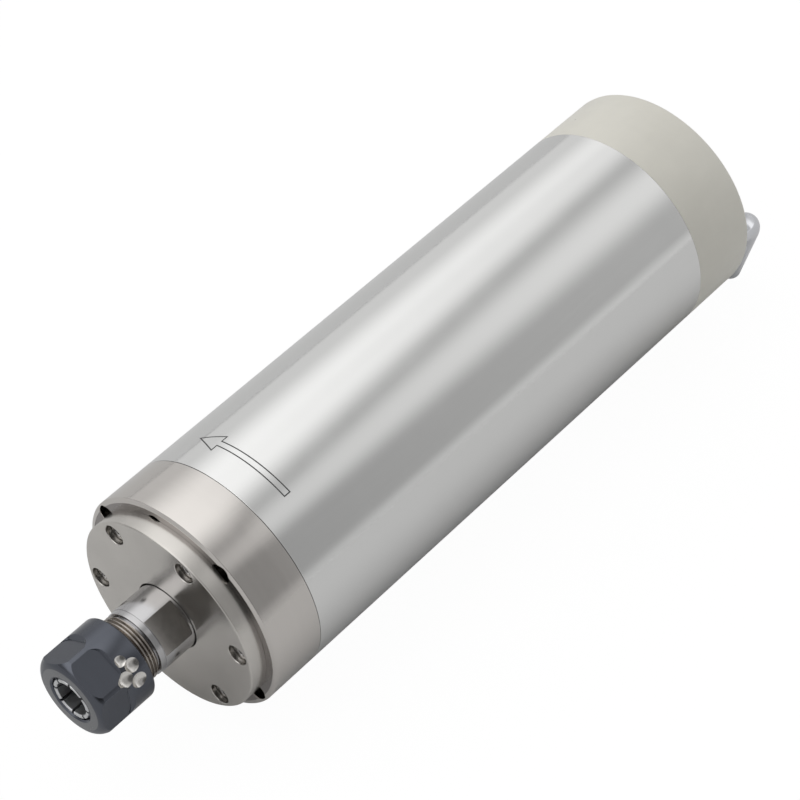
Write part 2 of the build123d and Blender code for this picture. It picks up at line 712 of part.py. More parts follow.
front_ring = (FRONT_BEARING["outer"] - FRONT_BEARING["bore"]) * RING_THICKNESS_SHARE
with BuildPart() as inner_spacer:
    revolve(
        outline(
            (FRONT_BEARING["bore"] + SEATED, BEARING_SPACER_Y),
            (FRONT_BEARING["bore"] + front_ring, BEARING_SPACER_Y),
            (FRONT_BEARING["bore"] + front_ring, BEARING_2_Y),
            (FRONT_BEARING["bore"] + SEATED, BEARING_2_Y),
        ),
        axis=Axis.Y,
    )
save(inner_spacer, "bearing_inner_spacer")

with BuildPart() as outer_spacer:
    revolve(
        outline(
            (FRONT_BEARING["outer"] - front_ring, BEARING_SPACER_Y),
            (FRONT_BEARING["outer"], BEARING_SPACER_Y),
            (FRONT_BEARING["outer"], BEARING_2_Y),
            (FRONT_BEARING["outer"] - front_ring, BEARING_2_Y),
        ),
        axis=Axis.Y,
    )
save(outer_spacer, "bearing_outer_spacer")


def slotted_nut(thread_r, outer_r, front_y, length):
    """A round nut on the shaft with four spanner slots."""
    with BuildPart() as nut:
        revolve(
            outline(
                (thread_r + SEATED, front_y),
                (outer_r, front_y),
                (outer_r, front_y + length),
                (thread_r + SEATED, front_y + length),
            ),
            axis=Axis.Y,
        )
        with BuildSketch(at(front_y)):
            with PolarLocations(outer_r, 4):
                Rectangle(2 * LOCKNUT_SLOT_DEPTH, LOCKNUT_SLOT_WIDTH)
        extrude(amount=-length, mode=Mode.SUBTRACT)
    return nut


front_locknut = slotted_nut(
    LOCKNUT_THREAD_R, LOCKNUT_THREAD_R + LOCKNUT_WALL, LOCKNUT_Y, LOCKNUT_LENGTH
)
save(front_locknut, "front_locknut")
rear_locknut = slotted_nut(REAR_THREAD_R, REAR_NUT_R, REAR_NUT_Y, REAR_NUT_LENGTH)
save(rear_locknut, "rear_locknut")

with BuildPart() as preload_spring:
    spring_outer_r = REAR_BEARING["outer"] - 4 * RUNNING
    revolve(
        outline(
            (spring_outer_r, REAR_NUT_Y),
            (spring_outer_r, REAR_NUT_Y + SPRING_THICKNESS),
            (spring_outer_r - SPRING_WIDTH, REAR_NUT_Y + SPRING_HEIGHT),
            (spring_outer_r - SPRING_WIDTH, REAR_NUT_Y + SPRING_HEIGHT - SPRING_THICKNESS),
        ),
        axis=Axis.Y,
    )
save(preload_spring, "preload_spring")

# Rear bearing housing, inside the tube
with BuildPart() as rear_housing:
    rear_bore_r = REAR_BEARING["outer"] + SEATED
    spring_seat_y = REAR_NUT_Y + SPRING_HEIGHT
    cavity_end_y = TUBE_END_Y - REAR_HOUSING_WALL
    rear_cavity_r = REAR_NUT_R + REAR_NUT_CLEARANCE
    revolve(
        outline(
            (rear_bore_r, REAR_HOUSING_Y),
            (SPIGOT_R, REAR_HOUSING_Y),
            (SPIGOT_R, TUBE_END_Y),
            (0, TUBE_END_Y),
            (0, cavity_end_y),
            (rear_cavity_r, cavity_end_y),
            (rear_cavity_r, spring_seat_y),
            (rear_bore_r, spring_seat_y),
        ),
        axis=Axis.Y,
    )
    revolve(
        outline(
            (GROOVE_FLOOR_R, REAR_O_RING_Y - O_RING_GROOVE_WIDTH / 2),
            (BODY_R, REAR_O_RING_Y - O_RING_GROOVE_WIDTH / 2),
            (BODY_R, REAR_O_RING_Y + O_RING_GROOVE_WIDTH / 2),
            (GROOVE_FLOOR_R, REAR_O_RING_Y + O_RING_GROOVE_WIDTH / 2),
        ),
        axis=Axis.Y,
        mode=Mode.SUBTRACT,
    )
    cut_round_holes(
        TUBE_END_Y, -1, LEAD_HOLE_R, LEAD_HOLE_CIRCLE_R, 1, LEAD_ANGLE, REAR_HOUSING_LENGTH
    )
    cross_y = REAR_HOUSING_Y + COOLANT_CROSS_DISTANCE
    for pipe_angle in PIPE_ANGLES:
        cut_round_holes(
            TUBE_END_Y, -1, PIPE_R + SEATED, COOLANT_PORT_CIRCLE_R, 1, pipe_angle, PIPE_SEAT_DEPTH
        )
        cut_round_holes(
            TUBE_END_Y,
            -1,
            COOLANT_PORT_R,
            COOLANT_PORT_CIRCLE_R,
            1,
            pipe_angle,
            TUBE_END_Y - cross_y,
        )
        with Locations(Plane(origin=polar(SPIGOT_R, pipe_angle, cross_y), z_dir=polar(1, pipe_angle, 0))):
            Cylinder(
                COOLANT_PORT_R,
                SPIGOT_R - COOLANT_PORT_CIRCLE_R,
                align=(Align.CENTER, Align.CENTER, Align.MAX),
                mode=Mode.SUBTRACT,
            )
        with BuildSketch(at(REAR_HOUSING_Y)):
            with PolarLocations(SPIGOT_R, 1, pipe_angle):
                Rectangle(2 * CHANNEL_DEPTH, 2 * COOLANT_PORT_R)
        extrude(amount=-COOLANT_CROSS_DISTANCE, mode=Mode.SUBTRACT)
save(rear_housing, "rear_housing")

with BuildPart() as body_o_rings:
    with BuildSketch():
        with Locations(
            (SPIGOT_R - O_RING_SECTION_R, FRONT_O_RING_Y),
            (SPIGOT_R - O_RING_SECTION_R, REAR_O_RING_Y),
        ):
            Circle(O_RING_SECTION_R)
    revolve(axis=Axis.Y)
save(body_o_rings, "body_o_rings")

# Water jacket: its channels lie between it and the tube
with BuildPart() as water_jacket:
    jacket_r = TUBE_INNER_R - SEATED
    channel_r = jacket_r - CHANNEL_DEPTH
    channel_start = JACKET_START + JACKET_LAND
    channel_end = JACKET_END - JACKET_LAND
    channel_length = channel_end - channel_start
    revolve(
        outline(
            (STATOR_R + SEATED, JACKET_START),
            (jacket_r, JACKET_START),
            (jacket_r, channel_start),
            (channel_r, channel_start),
            (channel_r, channel_end),
            (jacket_r, channel_end),
            (jacket_r, JACKET_END),
            (STATOR_R + SEATED, JACKET_END),
        ),
        axis=Axis.Y,
    )
    rib_top_r = math.sqrt(jacket_r**2 - (RIB_WIDTH / 2) ** 2)
    rib_depth = CHANNEL_DEPTH + RIB_ROOT
    for index in range(RIB_COUNT):
        # Water from one pipe reaches the other by two ways, each forward, back and forward again
        rib_angle = (index + 0.5) * 360 / RIB_COUNT
        gap_at_rear = index % 3 == 1
        rib_start = channel_start if gap_at_rear else channel_start + RIB_GAP
        with BuildSketch(at(rib_start)):
            with PolarLocations(rib_top_r - rib_depth / 2, 1, rib_angle):
                Rectangle(rib_depth, RIB_WIDTH)
        extrude(amount=-(channel_length - RIB_GAP))
    with BuildSketch(at(JACKET_END)):
        for pipe_angle in PIPE_ANGLES:
            with PolarLocations(jacket_r, 1, pipe_angle):
                Rectangle(2 * CHANNEL_DEPTH, 2 * COOLANT_PORT_R)
    extrude(amount=JACKET_LAND, mode=Mode.SUBTRACT)
save(water_jacket, "water_jacket")


# Motor
def slot_outline(liner):
    """One stator slot's copper space on the +X side, drawn inside the slot by a liner's width."""
    inner_r = STATOR_BORE_R + SLOT_TIP + liner
    outer_r = SLOT_BOTTOM_R - liner
    with BuildSketch(at(STACK_START)) as slot:
        with BuildLine():
            Polyline(
                (inner_r, -SLOT_INNER_WIDTH / 2 + liner),
                (outer_r, -SLOT_OUTER_WIDTH / 2 + liner),
                (outer_r, SLOT_OUTER_WIDTH / 2 - liner),
                (inner_r, SLOT_INNER_WIDTH / 2 - liner),
                close=True,
            )
        make_face()
    return slot.sketch


with BuildPart() as stator_core:
    revolve(
        outline(
            (STATOR_BORE_R, STACK_START),
            (STATOR_R, STACK_START),
            (STATOR_R, STACK_END),
            (STATOR_BORE_R, STACK_END),
        ),
        axis=Axis.Y,
    )
    with BuildSketch(at(STACK_START)) as openings:
        with PolarLocations(STATOR_BORE_R + SLOT_TIP / 2, SLOT_COUNT):
            Rectangle(2 * SLOT_TIP, SLOT_OPENING)
    extrude(openings.sketch, amount=-STACK_LENGTH, mode=Mode.SUBTRACT)
    slot_face = slot_outline(0)
    for index in range(SLOT_COUNT):
        turned_slot = slot_face.rotate(Axis.Y, index * 360 / SLOT_COUNT)
        extrude(turned_slot, amount=-STACK_LENGTH, mode=Mode.SUBTRACT)
save(stator_core, "stator_core")

with BuildPart() as stator_windings:
    end_turn_inner_r = STATOR_BORE_R + SLOT_TIP + SLOT_LINER
    for start_y in (STACK_START - END_TURN_GAP - END_TURN_LENGTH, STACK_END + END_TURN_GAP):
        with BuildSketch() as bundle:
            with Locations(((end_turn_inner_r + END_TURN_R) / 2, start_y + END_TURN_LENGTH / 2)):
                RectangleRounded(END_TURN_R - end_turn_inner_r, END_TURN_LENGTH, END_TURN_EDGE)
        revolve(bundle.sketch, axis=Axis.Y)
    coil_face = slot_outline(SLOT_LINER)
    for index in range(SLOT_COUNT):
        turned_coil = coil_face.rotate(Axis.Y, index * 360 / SLOT_COUNT)
        extrude(turned_coil, amount=-(STACK_LENGTH + 2 * END_TURN_GAP))
        extrude(turned_coil, amount=2 * END_TURN_GAP)
save(stator_windings, "stator_windings")

with BuildPart() as rotor_core:
    revolve(
        outline(
            (ROTOR_SEAT_R + SEATED, STACK_START),
            (ROTOR_R, STACK_START),
            (ROTOR_R, STACK_END),
            (ROTOR_SEAT_R + SEATED, STACK_END),
        ),
        axis=Axis.Y,
    )
    with BuildSketch(at(STACK_START)):
        with PolarLocations(BAR_CIRCLE_R, BAR_COUNT):
            Circle(BAR_R + SEATED)
    extrude(amount=-STACK_LENGTH, mode=Mode.SUBTRACT)
save(rotor_core, "rotor_core")

with BuildPart() as rotor_cage:
    for start_y in (STACK_START - END_RING_LENGTH, STACK_END):
        revolve(
            outline(
                (ROTOR_R - END_RING_WIDTH, start_y),
                (ROTOR_R, start_y),
                (ROTOR_R, start_y + END_RING_LENGTH),
                (ROTOR_R - END_RING_WIDTH, start_y + END_RING_LENGTH),
            ),
            axis=Axis.Y,
        )
    with BuildSketch(at(STACK_START)):
        with PolarLocations(BAR_CIRCLE_R, BAR_COUNT):
            Circle(BAR_R)
    extrude(amount=-STACK_LENGTH)
save(rotor_cage, "rotor_cage")

with BuildPart() as balance_rings:
    for start_y in (
        STACK_START - END_RING_LENGTH - BALANCE_RING_LENGTH,
        STACK_END + END_RING_LENGTH,
    ):
        revolve(
            outline(
                (ROTOR_SEAT_R + SEATED, start_y),
                (ROTOR_R - BALANCE_RING_INSET, start_y),
                (ROTOR_R - BALANCE_RING_INSET, start_y + BALANCE_RING_LENGTH),
                (ROTOR_SEAT_R + SEATED, start_y + BALANCE_RING_LENGTH),
            ),
            axis=Axis.Y,
        )
save(balance_rings, "balance_rings")

# Rear cap
with BuildPart() as rear_cap:
    with BuildSketch():
        with BuildLine():
            Polyline(
                (BODY_R - CAP_EDGE, CAP_END_Y),
                (0, CAP_END_Y),
                (0, CAP_END_Y - CAP_END_WALL),
                (BODY_R - CAP_WALL, CAP_END_Y - CAP_END_WALL),
                (BODY_R - CAP_WALL, TUBE_END_Y),
                (BODY_R, TUBE_END_Y),
                (BODY_R, CAP_END_Y - CAP_EDGE),
            )
            RadiusArc((BODY_R, CAP_END_Y - CAP_EDGE), (BODY_R - CAP_EDGE, CAP_END_Y), -CAP_EDGE)
        make_face()
    revolve(axis=Axis.Y)
    cut_screw_holes(
        CAP_END_Y,
        -1,
        HOUSING_COUNTERBORE_R,
        HOUSING_SCREW_CIRCLE_R,
        CAP_SCREW_COUNT,
        CAP_SCREW_ANGLE,
        CAP_SCREW_SINK,
        CAP_LENGTH,
    )
    with BuildSketch(at(CAP_END_Y)):
        for pipe_angle in PIPE_ANGLES:
            with PolarLocations(PIPE_CIRCLE_R, 1, pipe_angle):
                Circle(PIPE_R + PIPE_HOLE_CLEARANCE)
        with Locations((0, CONNECTOR_Z)):
            Circle(CONNECTOR_BARREL_R + CONNECTOR_HOLE_CLEARANCE)
    extrude(amount=CAP_LENGTH, mode=Mode.SUBTRACT)
save(rear_cap, "rear_cap")

cap_screws = screws(
    CAP_SCREW_HEAD_Y,
    -1,
    HOUSING_SCREW_CIRCLE_R,
    CAP_SCREW_COUNT,
    CAP_SCREW_ANGLE,
    CAP_SCREW_LENGTH,
)
save(cap_screws, "cap_screws")


# Bent water pipes
def water_pipe(angle, side):
    """A pipe from the rear housing, through the cap and down. side is +1 at the right."""
    tilt = math.radians(PIPE_TILT)
    along = Vector(-side * math.sin(tilt), 0, -math.cos(tilt))
    seat_y = TUBE_END_Y - PIPE_SEAT_DEPTH
    offset_y = TUBE_END_Y + PIPE_OFFSET_START
    foot = Vector(*polar(COOLANT_PORT_CIRCLE_R, angle, seat_y))
    corner = Vector(*polar(PIPE_CIRCLE_R, angle, CAP_END_Y + PIPE_STAND_OUT))
    with BuildPart() as pipe:
        with BuildLine() as route:
            FilletPolyline(
                foot,
                polar(COOLANT_PORT_CIRCLE_R, angle, offset_y),
                polar(PIPE_CIRCLE_R, angle, offset_y + PIPE_OFFSET_LENGTH),
                corner,
                corner + along * PIPE_ARM,
                radius=(PIPE_OFFSET_BEND_R, PIPE_OFFSET_BEND_R, PIPE_BEND_R),
            )
        foot_plane = Plane(origin=foot, x_dir=(1, 0, 0), z_dir=(0, 1, 0))
        with BuildSketch(foot_plane) as outside:
            Circle(PIPE_R)
        sweep(outside.sketch, path=route.line)
        with BuildSketch(foot_plane) as inside:
            Circle(PIPE_BORE_R)
        sweep(inside.sketch, path=route.line, mode=Mode.SUBTRACT)
        tip = pipe.faces().sort_by(lambda face: (face.center() - corner).dot(along))[-1]
        chamfer(tip.outer_wire().edges(), PIPE_TIP_CHAMFER)
    return pipe


save(water_pipe(PIPE_ANGLES[0], 1), "water_pipe_right")
save(water_pipe(PIPE_ANGLES[1], -1), "water_pipe_left")

with BuildPart() as pipe_nuts:
    with BuildSketch(at(CAP_END_Y)):
        for pipe_angle in PIPE_ANGLES:
            with PolarLocations(PIPE_CIRCLE_R, 1, pipe_angle):
                RegularPolygon(PIPE_NUT_WIDTH / 2, 6, major_radius=False)
                Circle(PIPE_R + SEATED, mode=Mode.SUBTRACT)
    extrude(amount=-PIPE_NUT_LENGTH)
save(pipe_nuts, "pipe_nuts")

# Power connector
with BuildPart() as connector_shell:
    barrel_end_y = CAP_END_Y + CONNECTOR_FLANGE + CONNECTOR_BARREL_LENGTH
    thread_start_y = CAP_END_Y - CAP_END_WALL - CONNECTOR_NUT_LENGTH
    recess_r = CONNECTOR_BARREL_R - CONNECTOR_WALL
    with BuildSketch(at(CAP_END_Y)):
        with Locations((0, CONNECTOR_Z)):
            Circle(CONNECTOR_FLANGE_R)
    extrude(amount=-CONNECTOR_FLANGE)
    with BuildSketch(at(thread_start_y)):
        with Locations((0, CONNECTOR_Z)):
            Circle(CONNECTOR_BARREL_R)
    extrude(amount=-(barrel_end_y - thread_start_y))
    with BuildSketch(at(thread_start_y)):
        with Locations((0, CONNECTOR_Z)):
            Circle(recess_r)
    extrude(amount=-(barrel_end_y - thread_start_y), mode=Mode.SUBTRACT)
    with BuildSketch(at(barrel_end_y)):
        with Locations((0, CONNECTOR_Z + CONNECTOR_BARREL_R)):
            Rectangle(CONNECTOR_KEY_WIDTH, 2 * CONNECTOR_KEY_DEPTH)
    extrude(amount=CONNECTOR_BARREL_LENGTH, mode=Mode.SUBTRACT)
save(connector_shell, "connector_shell")

with BuildPart() as connector_insert:
    insert_length = barrel_end_y - CONNECTOR_RECESS - thread_start_y
    with BuildSketch(at(thread_start_y)):
        with Locations((0, CONNECTOR_Z)):
            Circle(recess_r - SEATED)
            with PolarLocations(PIN_CIRCLE_R, PIN_COUNT, 45):
                Circle(PIN_R + SEATED, mode=Mode.SUBTRACT)
    extrude(amount=-insert_length)
save(connector_insert, "connector_insert")

with BuildPart() as connector_pins:
    with BuildSketch(at(thread_start_y - PIN_TAIL)):
        with Locations((0, CONNECTOR_Z)):
            with PolarLocations(PIN_CIRCLE_R, PIN_COUNT, 45):
                Circle(PIN_R)
    extrude(amount=-(PIN_TAIL + insert_length + PIN_LENGTH))
save(connector_pins, "connector_pins")

with BuildPart() as connector_nut:
    with BuildSketch(at(thread_start_y)):
        with Locations((0, CONNECTOR_Z)):
            RegularPolygon(CONNECTOR_NUT_WIDTH / 2, 6, major_radius=False)
            Circle(CONNECTOR_BARREL_R + SEATED, mode=Mode.SUBTRACT)
    extrude(amount=-CONNECTOR_NUT_LENGTH)
save(connector_nut, "connector_nut")

# Leads from the windings, through the rear housing, to the connector's pins. The outer two go
# to the lower pins on one level, and the inner two to the upper pins on the next.
with BuildPart() as motor_leads:
    lead_start_y = STACK_END + END_TURN_GAP + END_TURN_LENGTH
    lead_end_y = thread_start_y - PIN_TAIL
    for index in range(PIN_COUNT):
        outer = index in (0, PIN_COUNT - 1)
        side = 1 if index < PIN_COUNT / 2 else -1
        pin_x, _, pin_z = polar(PIN_CIRCLE_R, -45 if outer else 45, 0)
        start_x = LEAD_SPACING * ((PIN_COUNT - 1) / 2 - index)
        level_y = TUBE_END_Y + LEAD_BEND_R + (0 if outer else LEAD_LEVEL)
        with BuildLine() as lead_route:
            FilletPolyline(
                (start_x, lead_start_y, LEAD_HOLE_CIRCLE_R),
                (start_x, level_y, LEAD_HOLE_CIRCLE_R),
                (side * pin_x, level_y, CONNECTOR_Z + pin_z),
                (side * pin_x, lead_end_y, CONNECTOR_Z + pin_z),
                radius=LEAD_BEND_R,
            )
        with BuildSketch(at(lead_start_y)) as wire:
            with Locations((start_x, LEAD_HOLE_CIRCLE_R)):
                Circle(LEAD_R)
        sweep(wire.sketch, path=lead_route.line)
save(motor_leads, "motor_leads")
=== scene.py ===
"""Looks for a water-cooled motor spindle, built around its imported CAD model.

Sizes are in millimetres and meshes in metres. The spindle axis is Y, the nose points to -Y and
+Z is up. Angles about the axis are in degrees, counted from +X towards +Z.
"""

from __future__ import annotations

import json
import logging
import math
from contextlib import contextmanager
from dataclasses import dataclass
from enum import Enum
from itertools import pairwise
from typing import Callable, Iterator, NamedTuple, Sequence

import bpy
from mathutils import Matrix, Vector


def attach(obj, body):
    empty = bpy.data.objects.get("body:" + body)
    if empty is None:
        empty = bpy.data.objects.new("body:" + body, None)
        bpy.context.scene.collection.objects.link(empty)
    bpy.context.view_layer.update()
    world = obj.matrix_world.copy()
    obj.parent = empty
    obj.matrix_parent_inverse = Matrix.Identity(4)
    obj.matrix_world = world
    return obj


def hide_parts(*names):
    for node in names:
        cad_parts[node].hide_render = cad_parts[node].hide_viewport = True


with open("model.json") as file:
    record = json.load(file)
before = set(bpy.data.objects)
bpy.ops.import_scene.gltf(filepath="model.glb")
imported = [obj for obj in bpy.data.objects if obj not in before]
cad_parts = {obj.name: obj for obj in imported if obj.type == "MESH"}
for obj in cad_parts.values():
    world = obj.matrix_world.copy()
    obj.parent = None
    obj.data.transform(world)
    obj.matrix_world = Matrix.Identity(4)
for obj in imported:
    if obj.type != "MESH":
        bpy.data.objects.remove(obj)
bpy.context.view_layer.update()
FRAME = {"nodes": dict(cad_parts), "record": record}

LOG = logging.getLogger("spindle")
MM = 0.001
MERGE = 2e-7
SMOOTH_ANGLE = 18.0
ROUND_STEPS = 4

Colour = tuple[float, float, float]
Piece = bpy.types.Object
Socket = bpy.types.NodeSocket
Tree = bpy.types.NodeTree


# Shop work: how pieces are cut and joined


class Corner(NamedTuple):
    """A corner of a turned outline: radius, place along the axis and size of its rounding."""

    radius: float
    place: float
    edge: float = 0.0


class Cut(Enum):
    """What is done with a tool shape."""

    AWAY = "DIFFERENCE"
    ADDED = "UNION"
    SHARED = "INTERSECT"


def select_only(*pieces: Piece) -> None:
    """Select these pieces and nothing else, with the first one active.

    Args:
        pieces: the pieces to select.
    """
    bpy.ops.object.select_all(action="DESELECT")
    for piece in pieces:
        piece.select_set(True)
    bpy.context.view_layer.objects.active = pieces[0]


@contextmanager
def editing(piece: Piece) -> Iterator[None]:
    """Open a piece in edit mode with nothing selected, and close it again.

    Args:
        piece: the piece to edit.
    """
    select_only(piece)
    bpy.ops.object.mode_set(mode="EDIT")
    bpy.ops.mesh.select_all(action="DESELECT")
    yield
    bpy.ops.object.mode_set(mode="OBJECT")


def rounded(corners: Sequence[Corner]) -> list[Vector]:
    """Draw an outline with its corners rounded.

    Args:
        corners: the outline's corners, in order round it.

    Returns:
        Its points as (radius, place) in millimetres.
    """
    points = []
    for index, corner in enumerate(corners):
        here = Vector((corner.radius, corner.place))
        if corner.edge == 0.0:
            points.append(here)
            continue
        before = corners[index - 1]
        after = corners[(index + 1) % len(corners)]
        back = (Vector((before.radius, before.place)) - here).normalized()
        ahead = (Vector((after.radius, after.place)) - here).normalized()
        half = back.angle(ahead) / 2
        centre = here + (back + ahead).normalized() * corner.edge / math.sin(half)
        first = here + back * corner.edge / math.tan(half) - centre
        last = here + ahead * corner.edge / math.tan(half) - centre
        for step in range(ROUND_STEPS + 1):
            points.append(centre + first.slerp(last, step / ROUND_STEPS) * corner.edge)
    return points


def arc(start: Corner, middle: Corner, end: Corner, steps: int = 8) -> list[Corner]:
    """Draw an arc through three corners of an outline.

    Args:
        start: the arc's first point.
        middle: a point on the way.
        end: the arc's last point.
        steps: how many straight runs it has.

    Returns:
        The arc's points, both ends included.
    """
    a = complex(start.radius, start.place)
    b = complex(middle.radius, middle.place)
    c = complex(end.radius, end.place)
    w = (c - a) / (b - a)
    centre = (b - a) * (w - abs(w) ** 2) / (2j * w.imag) + a
    first = Vector(((a - centre).real, (a - centre).imag))
    last = Vector(((c - centre).real, (c - centre).imag))
    points = []
    for step in range(steps + 1):
        arm = first.slerp(last, step / steps) * abs(a - centre)
        points.append(Corner(centre.real + arm.x, centre.imag + arm.y))
    return points


def outline(*corners: Sequence[float]) -> list[Corner]:
    """Make an outline from the radius, place and rounding of each corner."""
    return [Corner(*corner) for corner in corners]


def ring(inner: float, outer: float, start: float, end: float) -> list[Corner]:
    """Make the outline of a ring, or of a disc where the inner radius is 0."""
    return outline((inner, start), (outer, start), (outer, end), (inner, end))


def apply_place() -> None:
    """Put the active piece's place, turn and scale into its mesh."""
    bpy.ops.object.transform_apply(location=True, rotation=True, scale=True)


def face_outwards() -> None:
    """Turn all faces of the piece in edit mode outwards."""
    bpy.ops.mesh.select_all(action="SELECT")
    bpy.ops.mesh.normals_make_consistent(inside=False)


def drawn(name: str, points: Sequence[Vector]) -> Piece:
    """Draw a line from point to point.

    Args:
        name: the piece's name.
        points: the points, in millimetres.

    Returns:
        The line as a piece of edges.
    """
    bpy.ops.mesh.primitive_plane_add(size=MM, location=points[0] * MM)
    piece = bpy.context.object
    piece.name = name
    apply_place()
    with editing(piece):
        bpy.ops.mesh.select_all(action="SELECT")
        bpy.ops.mesh.merge(type="CENTER")
        for here, there in pairwise(points):
            way = (there - here) * MM
            bpy.ops.mesh.extrude_vertices_move(TRANSFORM_OT_translate={"value": way})
    return piece


def block(size: Sequence[float], middle: Sequence[float]) -> Piece:
    """Make a block.

    Args:
        size: its size along X, Y and Z.
        middle: the place of its middle.

    Returns:
        The block.
    """
    bpy.ops.mesh.primitive_cube_add(size=MM, location=(0.0, 0.0, 0.0))
    piece = bpy.context.object
    piece.scale = size
    piece.location = Vector(middle) * MM
    apply_place()
    return piece


def turned(
    name: str,
    corners: Sequence[Corner],
    steps: int = 96,
    centre: tuple[float, float] = (0.0, 0.0),
    finish: Finish | None = None,
) -> Piece:
    """Turn a closed outline about an axis along Y. With six steps it gives a hexagonal bar.

    Args:
        name: the piece's name.
        corners: the outline, as seen on the +X side of the axis.
        steps: how many steps the turn has.
        centre: x and z of the axis.
        finish: the finish that it has or leaves, where it has one.

    Returns:
        The turned piece.
    """
    x, z = centre
    points = [Vector((x + point.x, point.y, z)) for point in rounded(corners)]
    piece = drawn(name, [*points, points[0]])
    if finish:
        piece.data.materials.append(finish.material())
    with editing(piece):
        bpy.ops.mesh.select_all(action="SELECT")
        bpy.ops.mesh.spin(
            steps=steps, angle=math.tau, center=(x * MM, 0.0, z * MM), axis=(0.0, 1.0, 0.0)
        )
        bpy.ops.mesh.select_all(action="SELECT")
        bpy.ops.mesh.remove_doubles(threshold=MERGE)
        bpy.ops.mesh.delete_loose(use_verts=True, use_edges=True, use_faces=False)
        face_outwards()
    return piece


def place(piece: Piece, where: Matrix) -> Piece:
    """Move a piece and leave its object at the origin, unturned and unscaled.

    Args:
        piece: the piece to move.
        where: the move, in metres.

    Returns:
        The same piece.
    """
    bpy.context.view_layer.update()
    piece.matrix_world = where @ piece.matrix_world
    select_only(piece)
    apply_place()
    return piece


def about_axis(angle: float) -> Matrix:
    """The turn by an angle about the spindle axis, from +X towards +Z."""
    return Matrix.Rotation(-math.radians(angle), 4, "Y")


def polar(radius: float, angle: float) -> tuple[float, float]:
    """x and z of a point at a radius and an angle about the spindle axis."""
    turn = math.radians(angle)
    return (radius * math.cos(turn), radius * math.sin(turn))


def joined(pieces: Sequence[Piece]) -> Piece:
    """Join pieces into one object.

    Args:
        pieces: the pieces, of which the first gives its name.

    Returns:
        The joined piece.
    """
    select_only(*pieces)
    bpy.ops.object.join()
    return bpy.context.object


def copies_round(piece: Piece, angles: Sequence[float]) -> Piece:
    """Copy a piece to angles about the spindle axis and join the copies.

    Args:
        piece: the piece, as it stands at angle 0.
        angles: where the copies go.

    Returns:
        The joined copies. The first piece is one of them.
    """
    copies = [piece]
    for _ in angles[1:]:
        select_only(piece)
        bpy.ops.object.duplicate()
        copies.append(bpy.context.object)
    for copy, angle in zip(copies, angles):
        place(copy, about_axis(angle))
    return joined(copies)


def steps_round(first: float, count: int) -> list[float]:
    """Equal steps round a circle, from a first angle."""
    return [first + index * 360.0 / count for index in range(count)]


def modified(piece: Piece, kind: str, **settings: object) -> None:
    """Give a piece a modifier and apply it.

    Args:
        piece: the piece.
        kind: the modifier's type.
        settings: the modifier's own settings.
    """
    modifier = piece.modifiers.new("work", kind)
    for key, value in settings.items():
        setattr(modifier, key, value)
    select_only(piece)
    bpy.ops.object.modifier_apply(modifier=modifier.name)


def worked(piece: Piece, tool: Piece, how: Cut = Cut.AWAY) -> Piece:
    """Cut a piece with a tool shape, and put the tool away.

    Args:
        piece: the piece to work on.
        tool: the shape to cut with, which is used up.
        how: whether the shape is cut away, added or kept in common.

    Returns:
        The same piece.
    """
    work = {"operation": how.value, "solver": "EXACT", "material_mode": "TRANSFER"}
    modified(piece, "BOOLEAN", object=tool, **work)
    bpy.data.objects.remove(tool)
    return piece


def bevelled(
    piece: Piece, width: float, steps: int, chosen: Callable[[Vector, Vector], bool]
) -> Piece:
    """Bevel some of a piece's edges.

    Args:
        piece: the piece to bevel.
        width: how far the bevel reaches from the edge.
        steps: how many faces it has across.
        chosen: whether an edge is bevelled, from its two ends.

    Returns:
        The same piece.
    """
    with editing(piece):
        bpy.ops.mesh.select_mode(type="EDGE")
        bpy.ops.object.mode_set(mode="OBJECT")
        for edge in piece.data.edges:
            edge.select = chosen(*(piece.data.vertices[index].co for index in edge.vertices))
        bpy.ops.object.mode_set(mode="EDIT")
        bpy.ops.mesh.bevel(offset=width * MM, segments=steps, affect="EDGES")
        bpy.ops.mesh.select_mode(type="VERT")
    return piece


def finished(
    piece: Piece,
    finish: Finish,
    *nodes: str,
    slot: str = "",
    body: str = "housing",
    angle: float = SMOOTH_ANGLE,
) -> Piece:
    """Shade a piece, hang it on its CAD body and hide the CAD nodes that it stands for.

    Args:
        piece: the finished mesh.
        finish: its finish.
        nodes: the CAD nodes that it stands for.
        slot: the record's material slot, where it isn't named as the finish is. It is not used.
        body: the CAD body that it rides on.
        angle: the sharpest edge that is shaded over, in degrees.

    Returns:
        The same piece.
    """
    if not piece.data.materials:
        piece.data.materials.append(finish.material())
    select_only(piece)
    bpy.ops.object.shade_smooth_by_angle(angle=math.radians(angle))
    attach(piece, body)
    if nodes:
        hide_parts(*nodes)
    LOG.info("%s: %d faces", piece.name, len(piece.data.polygons))
    return piece


def screw_tool(
    centre: tuple[float, float], face: float, into: float, head: Corner, shank: Corner, flare: float
) -> Piece:
    """The shape of a counterbored screw hole, with its mouth broken.

    Args:
        centre: x and z of the hole.
        face: where the hole starts.
        into: +1 where the hole runs to +Y and -1 where it runs to -Y.
        head: the counterbore's radius and depth.
        shank: the shank hole's radius and depth.
        flare: how wide the mouth is broken.

    Returns:
        The tool.
    """
    corners = outline(
        (0.0, face - into), (head.radius + flare + 1.0, face - into),
        (head.radius, face + into * flare), (head.radius, face + into * head.place),
        (shank.radius, face + into * head.place), (shank.radius, face + into * shank.place),
        (0.0, face + into * shank.place),
    )
    return turned("screw_tool", corners, 48, centre)


